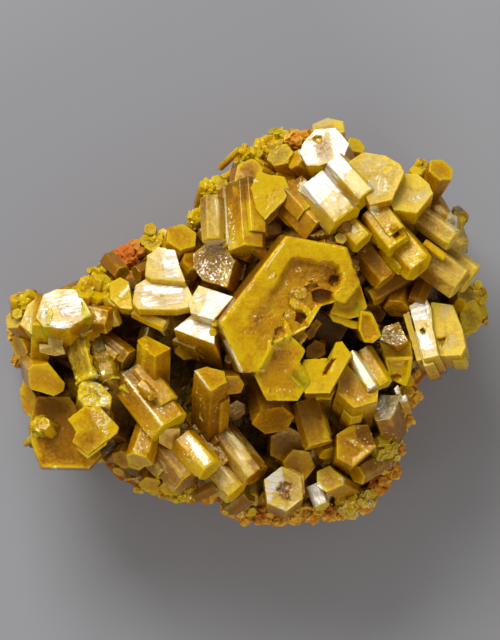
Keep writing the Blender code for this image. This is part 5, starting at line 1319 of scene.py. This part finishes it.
def zoned_color_glow_and_shade_group():
    """Colour of a crystal: painted brighter at its edges, a painted glow of light through them; painted darker
    towards its root and in its hollows, painted shade; clouded in between.
    """
    group, given, result = new_group("zoned colour with painted glow and shade", [
        ("Bright", "color", (1, 1, 0, 1)), ("Body", "color", (0.5, 0.3, 0, 1)), ("Deep", "color", (0.1, 0, 0, 1)),
        ("Edge Light", "value", 0.4), ("Root Shade", "value", 0.6), ("Clouds", "value", 0.5)], [("Color", "color")])
    zones = wire(group, "ShaderNodeAttribute", set_attribute_name="zones")
    parts = wire(group, "ShaderNodeSeparateColor", Color=zones.outputs["Color"])
    place = wire(group, "ShaderNodeTexCoord").outputs["Object"]
    cloud = wire(group, "ShaderNodeTexNoise", Vector=place, Scale=420.0, Detail=4.0, Roughness=0.6)
    fleck = wire(group, "ShaderNodeTexNoise", Vector=place, Scale=2400.0, Detail=2.0)
    patchy = sum_of(group, cloud.outputs[0], 0.5, "SUBTRACT")
    patchy = sum_of(group, patchy, given.outputs["Clouds"], "MULTIPLY")
    speck = sum_of(group, sum_of(group, fleck.outputs[0], 0.5, "SUBTRACT"), 0.7, "MULTIPLY")
    # Painted light: the edge glow, in patches. Painted shade: darker in hollows and down the sides, towards the root.
    painted_edge_glow = sum_of(group, parts.outputs[0], soft_step(group, cloud.outputs[0], 0.25, 0.6), "MULTIPLY")
    light = sum_of(group, painted_edge_glow, given.outputs["Edge Light"], "MULTIPLY")
    shade = sum_of(group, parts.outputs[1], given.outputs["Root Shade"], "MULTIPLY")
    tone = sum_of(group, sum_of(group, parts.outputs[2], patchy), speck)
    tone = sum_of(group, sum_of(group, tone, light), shade, "SUBTRACT")
    low = blend_colors(group, soft_step(group, tone, -0.1, 0.4), given.outputs["Deep"], given.outputs["Body"])
    full = blend_colors(group, soft_step(group, tone, 0.3, 0.9), low, given.outputs["Bright"])
    group.links.new(full, result.inputs["Color"])
    return group


def fine_relief_group():
    """Height of a crystal's fine relief: grain, and growth lines along and across it."""
    group, given, result = new_group("fine relief", [
        ("Grain", "value", 0.4), ("Grain Scale", "value", 4000.0), ("Lines", "value", 0.3),
        ("Bands", "value", 0.2)], [("Height", "value"), ("Grain Mask", "value")])
    place = wire(group, "ShaderNodeTexCoord").outputs["Object"]
    grown = wire(group, "ShaderNodeAttribute", set_attribute_name="grown").outputs["Vector"]
    grain = wire(group, "ShaderNodeTexNoise", Vector=place, Scale=given.outputs["Grain Scale"], Detail=3.0)
    along = wire(group, "ShaderNodeMapping", Vector=grown, Scale=(6.0, 0.5, 1.0))
    across = wire(group, "ShaderNodeMapping", Vector=grown, Scale=(0.4, 4.0, 1.0))
    lines = wire(group, "ShaderNodeTexNoise", Vector=along.outputs[0], Scale=1.0, Detail=2.0)
    bands = wire(group, "ShaderNodeTexNoise", Vector=across.outputs[0], Scale=1.0, Detail=2.0)
    height = sum_of(group, grain.outputs[0], given.outputs["Grain"], "MULTIPLY")
    height = sum_of(group, height, sum_of(group, lines.outputs[0], given.outputs["Lines"], "MULTIPLY"))
    height = sum_of(group, height, sum_of(group, bands.outputs[0], given.outputs["Bands"], "MULTIPLY"))
    group.links.new(height, result.inputs["Height"])
    group.links.new(grain.outputs[0], result.inputs["Grain Mask"])
    return group


def streaks_group():
    """Where a face is whitened in streaks along its growth lines, gathered in patches: partly frosting, partly
    painted highlight.
    """
    group, given, result = new_group("growth streaks", [
        ("Cover", "value", 0.5), ("Patch Scale", "value", 700.0), ("Fineness", "value", 4.0)],
        [("Mask", "value"), ("Lines", "value")])
    place = wire(group, "ShaderNodeTexCoord").outputs["Object"]
    grown = wire(group, "ShaderNodeAttribute", set_attribute_name="grown").outputs["Vector"]
    stretched = wire(group, "ShaderNodeVectorMath", set_operation="MULTIPLY", at0=grown, at1=(1.0, 0.12, 1.0))
    streak = wire(group, "ShaderNodeTexNoise", Vector=stretched.outputs[0], Scale=given.outputs["Fineness"],
                  Detail=3.0)
    patch = wire(group, "ShaderNodeTexNoise", Vector=place, Scale=given.outputs["Patch Scale"], Detail=3.0)
    level = sum_of(group, sum_of(group, streak.outputs[0], 0.7, "MULTIPLY"),
                   sum_of(group, patch.outputs[0], 0.6, "MULTIPLY"))
    level = sum_of(group, level, given.outputs["Cover"])
    group.links.new(soft_step(group, level, 1.0, 1.3), result.inputs["Mask"])
    group.links.new(soft_step(group, streak.outputs[0], 0.36, 0.56), result.inputs["Lines"])
    return group


def facet_glints_group():
    """Many tiny facets, each tilted its own way, so that a rough face glitters."""
    group, given, result = new_group("facet glints", [
        ("Normal", "vector", (0, 0, 1)), ("Facet Scale", "value", 3500.0), ("Tilt", "value", 0.6)],
        [("Normal", "vector"), ("Facet Mask", "value")])
    place = wire(group, "ShaderNodeTexCoord").outputs["Object"]
    cells = wire(group, "ShaderNodeTexVoronoi", Vector=place, Scale=given.outputs["Facet Scale"])
    tilt = wire(group, "ShaderNodeVectorMath", set_operation="SUBTRACT", at0=cells.outputs["Color"],
                at1=(0.5, 0.5, 0.5))
    tilt = wire(group, "ShaderNodeVectorMath", set_operation="SCALE", at0=tilt.outputs[0],
                Scale=given.outputs["Tilt"])
    turned = wire(group, "ShaderNodeVectorMath", set_operation="ADD", at0=tilt.outputs[0],
                  at1=given.outputs["Normal"])
    turned = wire(group, "ShaderNodeVectorMath", set_operation="NORMALIZE", at0=turned.outputs[0])
    parts = wire(group, "ShaderNodeSeparateColor", Color=cells.outputs["Color"])
    group.links.new(turned.outputs[0], result.inputs["Normal"])
    group.links.new(parts.outputs[0], result.inputs["Facet Mask"])
    return group


def place_group(tree, group, **sockets):
    """A node group set into a material with its own values."""
    return wire(tree, "ShaderNodeGroup", set_node_tree=group, **sockets)


def crystal_material(name, groups, bright, body, deep, edge_light=0.35, root_shade=0.6, clouds=0.5,
                     rough=(0.22, 0.4), grain=0.3, grain_scale=3500.0, lines=0.2, bands=0.1, relief=0.00006,
                     tilt=0.0, facet_scale=3500.0, glow=0.6, frost_and_highlight_color=(0.7, 0.6, 0.4, 1), cover=0.0, fineness=4.0,
                     line_depth=0.5, sheen=0.0, mirror=0.35, painted_glint_share=0.01, tint=(1.0, 0.88, 0.45, 1)):
    """A pyromorphite finish: zoned colour, resinous gloss, soft glow of light inside, fine relief."""
    material, tree, shader = new_material(name)
    colors = place_group(tree, groups["zones"], Bright=bright, Body=body, Deep=deep, Edge_Light=edge_light,
                         Root_Shade=root_shade, Clouds=clouds)
    fine = place_group(tree, groups["relief"], Grain=grain, Grain_Scale=grain_scale, Lines=lines, Bands=bands)
    bump = wire(tree, "ShaderNodeBump", Height=fine.outputs["Height"], Strength=1.0, Distance=relief)
    glints = place_group(tree, groups["glints"], Normal=bump.outputs["Normal"], Facet_Scale=facet_scale, Tilt=tilt)
    # The frost channel, grain and glint flecks whiten the base colour towards a pale colour: partly frosting, partly
    # painted highlight, reflection of the main light and glints.
    frost_and_highlight = wire(tree, "ShaderNodeAttribute", set_attribute_name="zones").outputs["Alpha"]
    uneven = sum_of(tree, sum_of(tree, fine.outputs["Grain Mask"], 0.5, "SUBTRACT"), frost_and_highlight)
    frosted = soft_step(tree, uneven, 0.45, 0.75)
    painted_glint_level = sum_of(tree, sum_of(tree, frost_and_highlight, 0.45, "MULTIPLY"), glints.outputs["Facet Mask"])
    frosted = sum_of(tree, frosted, soft_step(tree, painted_glint_level, 1.0 - painted_glint_share, 1.01 - painted_glint_share))
    if cover:
        streaks = place_group(tree, groups["streaks"], Cover=sum_of(tree, frost_and_highlight, cover), Fineness=fineness)
        frosted = sum_of(tree, frosted, streaks.outputs["Mask"])
        thinned = sum_of(tree, sum_of(tree, streaks.outputs["Lines"], line_depth, "MULTIPLY"), 1.0 - line_depth)
        frosted = sum_of(tree, sum_of(tree, frosted, 0.0, clamp=True), thinned, "MULTIPLY")
    frosted = sum_of(tree, frosted, 0.0, clamp=True)
    color = blend_colors(tree, frosted, colors.outputs["Color"], frost_and_highlight_color)
    tree.links.new(color, shader.inputs["Base Color"])
    gloss = wire(tree, "ShaderNodeMapRange", Value=fine.outputs["Grain Mask"], To_Min=rough[0], To_Max=rough[1])
    tree.links.new(gloss.outputs["Result"], shader.inputs["Roughness"])
    if sheen:
        tree.links.new(sum_of(tree, frosted, sheen, "MULTIPLY"), shader.inputs["Coat Weight"])
        shader.inputs["Coat Roughness"].default_value = 0.14
        shader.inputs["Coat IOR"].default_value = 2.0
    shader.inputs["Specular IOR Level"].default_value = mirror
    shader.inputs["Specular Tint"].default_value = tint
    tree.links.new(glints.outputs["Normal"], shader.inputs["Normal"])
    shader.inputs["IOR"].default_value = 2.05
    shader.inputs["Subsurface Weight"].default_value = glow
    shader.inputs["Subsurface Radius"].default_value = (1.0, 0.75, 0.2)
    shader.inputs["Subsurface Scale"].default_value = 0.001
    return material


def limonite_material():
    """Limonite: rust to ochre, granular and porous; smoother and browner on its sawn base."""
    material, tree, shader = new_material("granular limonite")
    place = wire(tree, "ShaderNodeTexCoord").outputs["Object"]
    cloud = wire(tree, "ShaderNodeTexNoise", Vector=place, Scale=260.0, Detail=5.0, Roughness=0.65)
    grain = wire(tree, "ShaderNodeTexVoronoi", Vector=place, Scale=1900.0)
    fine = wire(tree, "ShaderNodeTexNoise", Vector=place, Scale=3600.0, Detail=3.0)
    zones = wire(tree, "ShaderNodeAttribute", set_attribute_name="zones")
    parts = wire(tree, "ShaderNodeSeparateColor", Color=zones.outputs["Color"])
    pale = sum_of(tree, sum_of(tree, cloud.outputs[0], 0.5, "SUBTRACT"), 1.6, "MULTIPLY")
    # The zones' first channel adds the painted light on swells and painted shade in dips.
    pale = sum_of(tree, sum_of(tree, pale, parts.outputs[0]), sum_of(tree, fine.outputs[0], 0.35, "MULTIPLY"))
    dark = blend_colors(tree, soft_step(tree, pale, 0.1, 0.65), (0.26, 0.06, 0.004, 1), (0.60, 0.22, 0.012, 1))
    full = blend_colors(tree, soft_step(tree, pale, 0.6, 1.15), dark, (0.86, 0.50, 0.05, 1))
    full = blend_colors(tree, parts.outputs[2], full, (0.52, 0.10, 0.008, 1))
    shader.inputs["Specular IOR Level"].default_value = 0.25
    sawn = blend_colors(tree, cloud.outputs[0], (0.20, 0.07, 0.02, 1), (0.45, 0.20, 0.06, 1))
    full = blend_colors(tree, zones.outputs["Alpha"], full, sawn)
    tree.links.new(full, shader.inputs["Base Color"])
    height = sum_of(tree, sum_of(tree, grain.outputs["Distance"], -0.8, "MULTIPLY"), fine.outputs[0])
    bump = wire(tree, "ShaderNodeBump", Height=height, Strength=1.0, Distance=0.00012)
    tree.links.new(bump.outputs["Normal"], shader.inputs["Normal"])
    gloss = wire(tree, "ShaderNodeMapRange", Value=fine.outputs[0], To_Min=0.45, To_Max=0.9)
    tree.links.new(gloss.outputs["Result"], shader.inputs["Roughness"])
    return material


FLOOR_COLOR = (0.295, 0.298, 0.315, 1)


def floor_material():
    """A plain pale grey floor."""
    material, _, shader = new_material("pale floor")
    shader.inputs["Base Color"].default_value = FLOOR_COLOR
    shader.inputs["Roughness"].default_value = 0.6
    return material


# Scene

# The camera looks straight down: its lens and sensor in millimetres, then in metres the point below it and how
# much it frames there.
LENS, SENSOR = 600, 36
VIEW_POINT = (0.00025, 0.0, 0.026)
VIEW_SIZE = 0.08
FLOOR_HEIGHT = -0.0002
# Soft lights: the way they stand from the specimen, distance, size, strength and colour.
LIGHT_AIM = (0, 0, 0.02)
LIGHTS = [
    ("main light", (-0.32, 0.70, 0.64), 0.6, (0.38, 0.28), 10.5, (1, 1, 1)),
    ("side light", (-0.8, -0.5, 0.4), 0.7, (0.15, 0.15), 4.0, (1, 1, 1)),
    ("front light", (0.35, -0.8, 0.55), 0.7, (0.35, 0.25), 4.6, (1.0, 0.92, 0.78)),
]
# Greys of the room: at the horizon, at its sides and overhead.
SKY_FOOT, SKY_SIDES, SKY_TOP = (0.10, 0.10, 0.10, 1), (0.46, 0.46, 0.47, 1), (0.16, 0.16, 0.16, 1)


def soft_box(name, direction, distance, size, radiance, color):
    """A rectangular soft light that faces the specimen."""
    light = bpy.data.lights.new(name, "AREA")
    light.shape = "RECTANGLE"
    light.size, light.size_y = size
    light.energy = radiance * math.pi * size[0] * size[1]
    light.color = color
    lamp = bpy.data.objects.new(name, light)
    way = np.array(direction, float)
    way /= np.linalg.norm(way)
    lamp.location = tuple(np.array(LIGHT_AIM) + way * distance)
    lamp.rotation_euler = Vector(tuple(way)).to_track_quat("Z", "Y").to_euler()
    lamp.visible_camera = False
    bpy.context.scene.collection.objects.link(lamp)


def set_the_stage():
    """Camera straight above, as the photo was framed, pale floor, soft lights."""
    scene = bpy.context.scene
    camera = bpy.data.cameras.new("camera")
    camera.lens = LENS
    camera.sensor_width = SENSOR
    camera.clip_start = 0.05
    camera.clip_end = 10
    view = bpy.data.objects.new("camera", camera)
    view.location = (VIEW_POINT[0], VIEW_POINT[1], VIEW_POINT[2] + VIEW_SIZE * LENS / SENSOR)
    scene.collection.objects.link(view)
    scene.camera = view
    mesh = bpy.data.meshes.new("floor")
    corners = [(-2, -2), (2, -2), (2, 2), (-2, 2)]
    mesh.from_pydata([(x, y, FLOOR_HEIGHT) for x, y in corners], [], [(0, 1, 2, 3)])
    mesh.materials.append(floor_material())
    floor = bpy.data.objects.new("floor", mesh)
    scene.collection.objects.link(floor)
    for light in LIGHTS:
        soft_box(*light)
    world = bpy.data.worlds.new("studio")
    world.use_nodes = True
    tree = world.node_tree
    way = wire(tree, "ShaderNodeTexCoord").outputs["Generated"]
    height = wire(tree, "ShaderNodeSeparateXYZ", Vector=way).outputs["Z"]
    low = blend_colors(tree, soft_step(tree, height, 0.05, 0.45), SKY_FOOT, SKY_SIDES)
    sky = blend_colors(tree, soft_step(tree, height, 0.72, 0.98), low, SKY_TOP)
    tree.links.new(sky, tree.nodes["Background"].inputs["Color"])
    scene.world = world
    scene.view_settings.view_transform = "Standard"
    scene.view_settings.look = "None"
    scene.view_settings.exposure = 0.0


# The crystals are numbered through, so that each has relief of its own: the groups from 1, then the small ones.
FLANK_FIRST = 200
SMALL_FIRST = 300
GROWTH_SEED = 7
# What each finish is like: colours by red, green and blue, and amounts from 0 to 1 unless they are sizes.
DEEP = (0.27, 0.105, 0.001, 1)
LOOKS = {
    "honey": dict(bright=(0.68, 0.448, 0.001, 1), body=(0.51, 0.242, 0.0015, 1), deep=DEEP, edge_light=0.45,
                  clouds=0.75, rough=(0.18, 0.4), tilt=0.1, facet_scale=5000.0, frost_and_highlight_color=(0.80, 0.68, 0.36, 1), sheen=0.4,
                  mirror=0.22, painted_glint_share=0.003),
    # The satin finish's pale colour paints the reflection of the main light on its white faces, over its coat's real
    # reflection.
    "satin": dict(bright=(0.68, 0.46, 0.008, 1), body=(0.47, 0.28, 0.012, 1), deep=DEEP, root_shade=0.3, clouds=0.9,
                  rough=(0.3, 0.5), lines=0.5, relief=0.00008, tilt=0.08, facet_scale=3600.0,
                  frost_and_highlight_color=(0.70, 0.66, 0.56, 1), cover=0.36, glow=0.1, sheen=0.34, fineness=3.4, line_depth=0.75,
                  tint=(1, 1, 1, 1)),
    "frosted": dict(bright=(0.76, 0.52, 0.03, 1), body=(0.52, 0.32, 0.03, 1), deep=DEEP, rough=(0.35, 0.55),
                    grain=0.8, grain_scale=4200.0, tilt=0.16, facet_scale=4200.0, frost_and_highlight_color=(0.64, 0.48, 0.17, 1),
                    cover=0.34, sheen=0.2, mirror=0.25, painted_glint_share=0.02),
    "sparkling": dict(bright=(0.74, 0.48, 0.03, 1), body=(0.36, 0.19, 0.008, 1), deep=DEEP, rough=(0.08, 0.2),
                      grain=0.8, tilt=0.9, facet_scale=4200.0, relief=0.0001, glow=0.2, mirror=0.5,
                      tint=(1, 1, 1, 1)),
    "olive": dict(bright=(0.74, 0.52, 0.004, 1), body=(0.40, 0.23, 0.003, 1), deep=(0.15, 0.07, 0.001, 1), grain=0.8,
                  rough=(0.25, 0.5), tilt=0.25, relief=0.0001, mirror=0.25, frost_and_highlight_color=(0.70, 0.62, 0.30, 1), painted_glint_share=0.012,
                  sheen=0.5),
}


def cluster_shape(name, cluster, first, draw):
    """One group of crystals, numbered from first, touched up as in the photo."""
    shapes = []
    for number, crystal in enumerate(cluster, first):
        if crystal is GREAT_CRYSTAL:
            shapes.append(crystal_shape(crystal, number, spacing=0.18, edge=0.6, centre=GREAT_MIDDLE,
                                        end_height=great_end))
        else:
            shapes.append(crystal_shape(crystal, number))
            shapes += parallel_growths(crystal, draw, number)
    shape = joined(shapes)
    touch_up(shape, TOUCHES.get(name, ()))
    return shape


def build():
    """The dressed specimen."""
    groups = {"zones": zoned_color_glow_and_shade_group(), "relief": fine_relief_group(), "glints": facet_glints_group(),
              "streaks": streaks_group()}
    materials = [crystal_material(name + " pyromorphite", groups, **LOOKS[name]) for name in MATERIAL_ORDER]
    crystals = [crystal for cluster in CLUSTERS.values() for crystal in cluster]
    pieces = []
    first = 1
    draw = random.Random(GROWTH_SEED)
    for name, cluster in CLUSTERS.items():
        cluster = cluster + EXTRAS.get(name, [])
        pieces.append((name, cluster_shape(name, cluster, first, draw)))
        first += len(cluster)
    flank = [crystal_shape(crystal, number, spacing=0.4, edge=0.1)
             for number, crystal in enumerate(flank_crystals(), FLANK_FIRST)]
    small = [crystal_shape(crystal, number, spacing=0.6, edge=0.06)
             for number, crystal in enumerate(small_crystals() + cavity_crystals(crystals), SMALL_FIRST)]
    pieces += [("flank_crystals", joined(flank)), ("small_crystals", joined(small)),
               ("granular_masses", lumps(CLUMPS, size=0.4, crystalline=True)),
               ("massive_crust", crust_shape(crystals))]
    for name, shape in pieces:
        make_piece(name, shape, materials, "pyromorphite_crystals")
    limonite = [limonite_material()]
    grains = lumps(LIMONITE_LUMPS, size=1.0, crystalline=False)
    for name, shape in (("limonite", matrix_shape()), ("limonite_grains", grains)):
        make_piece(name, shape, limonite, "limonite_matrix")


build()
set_the_stage()
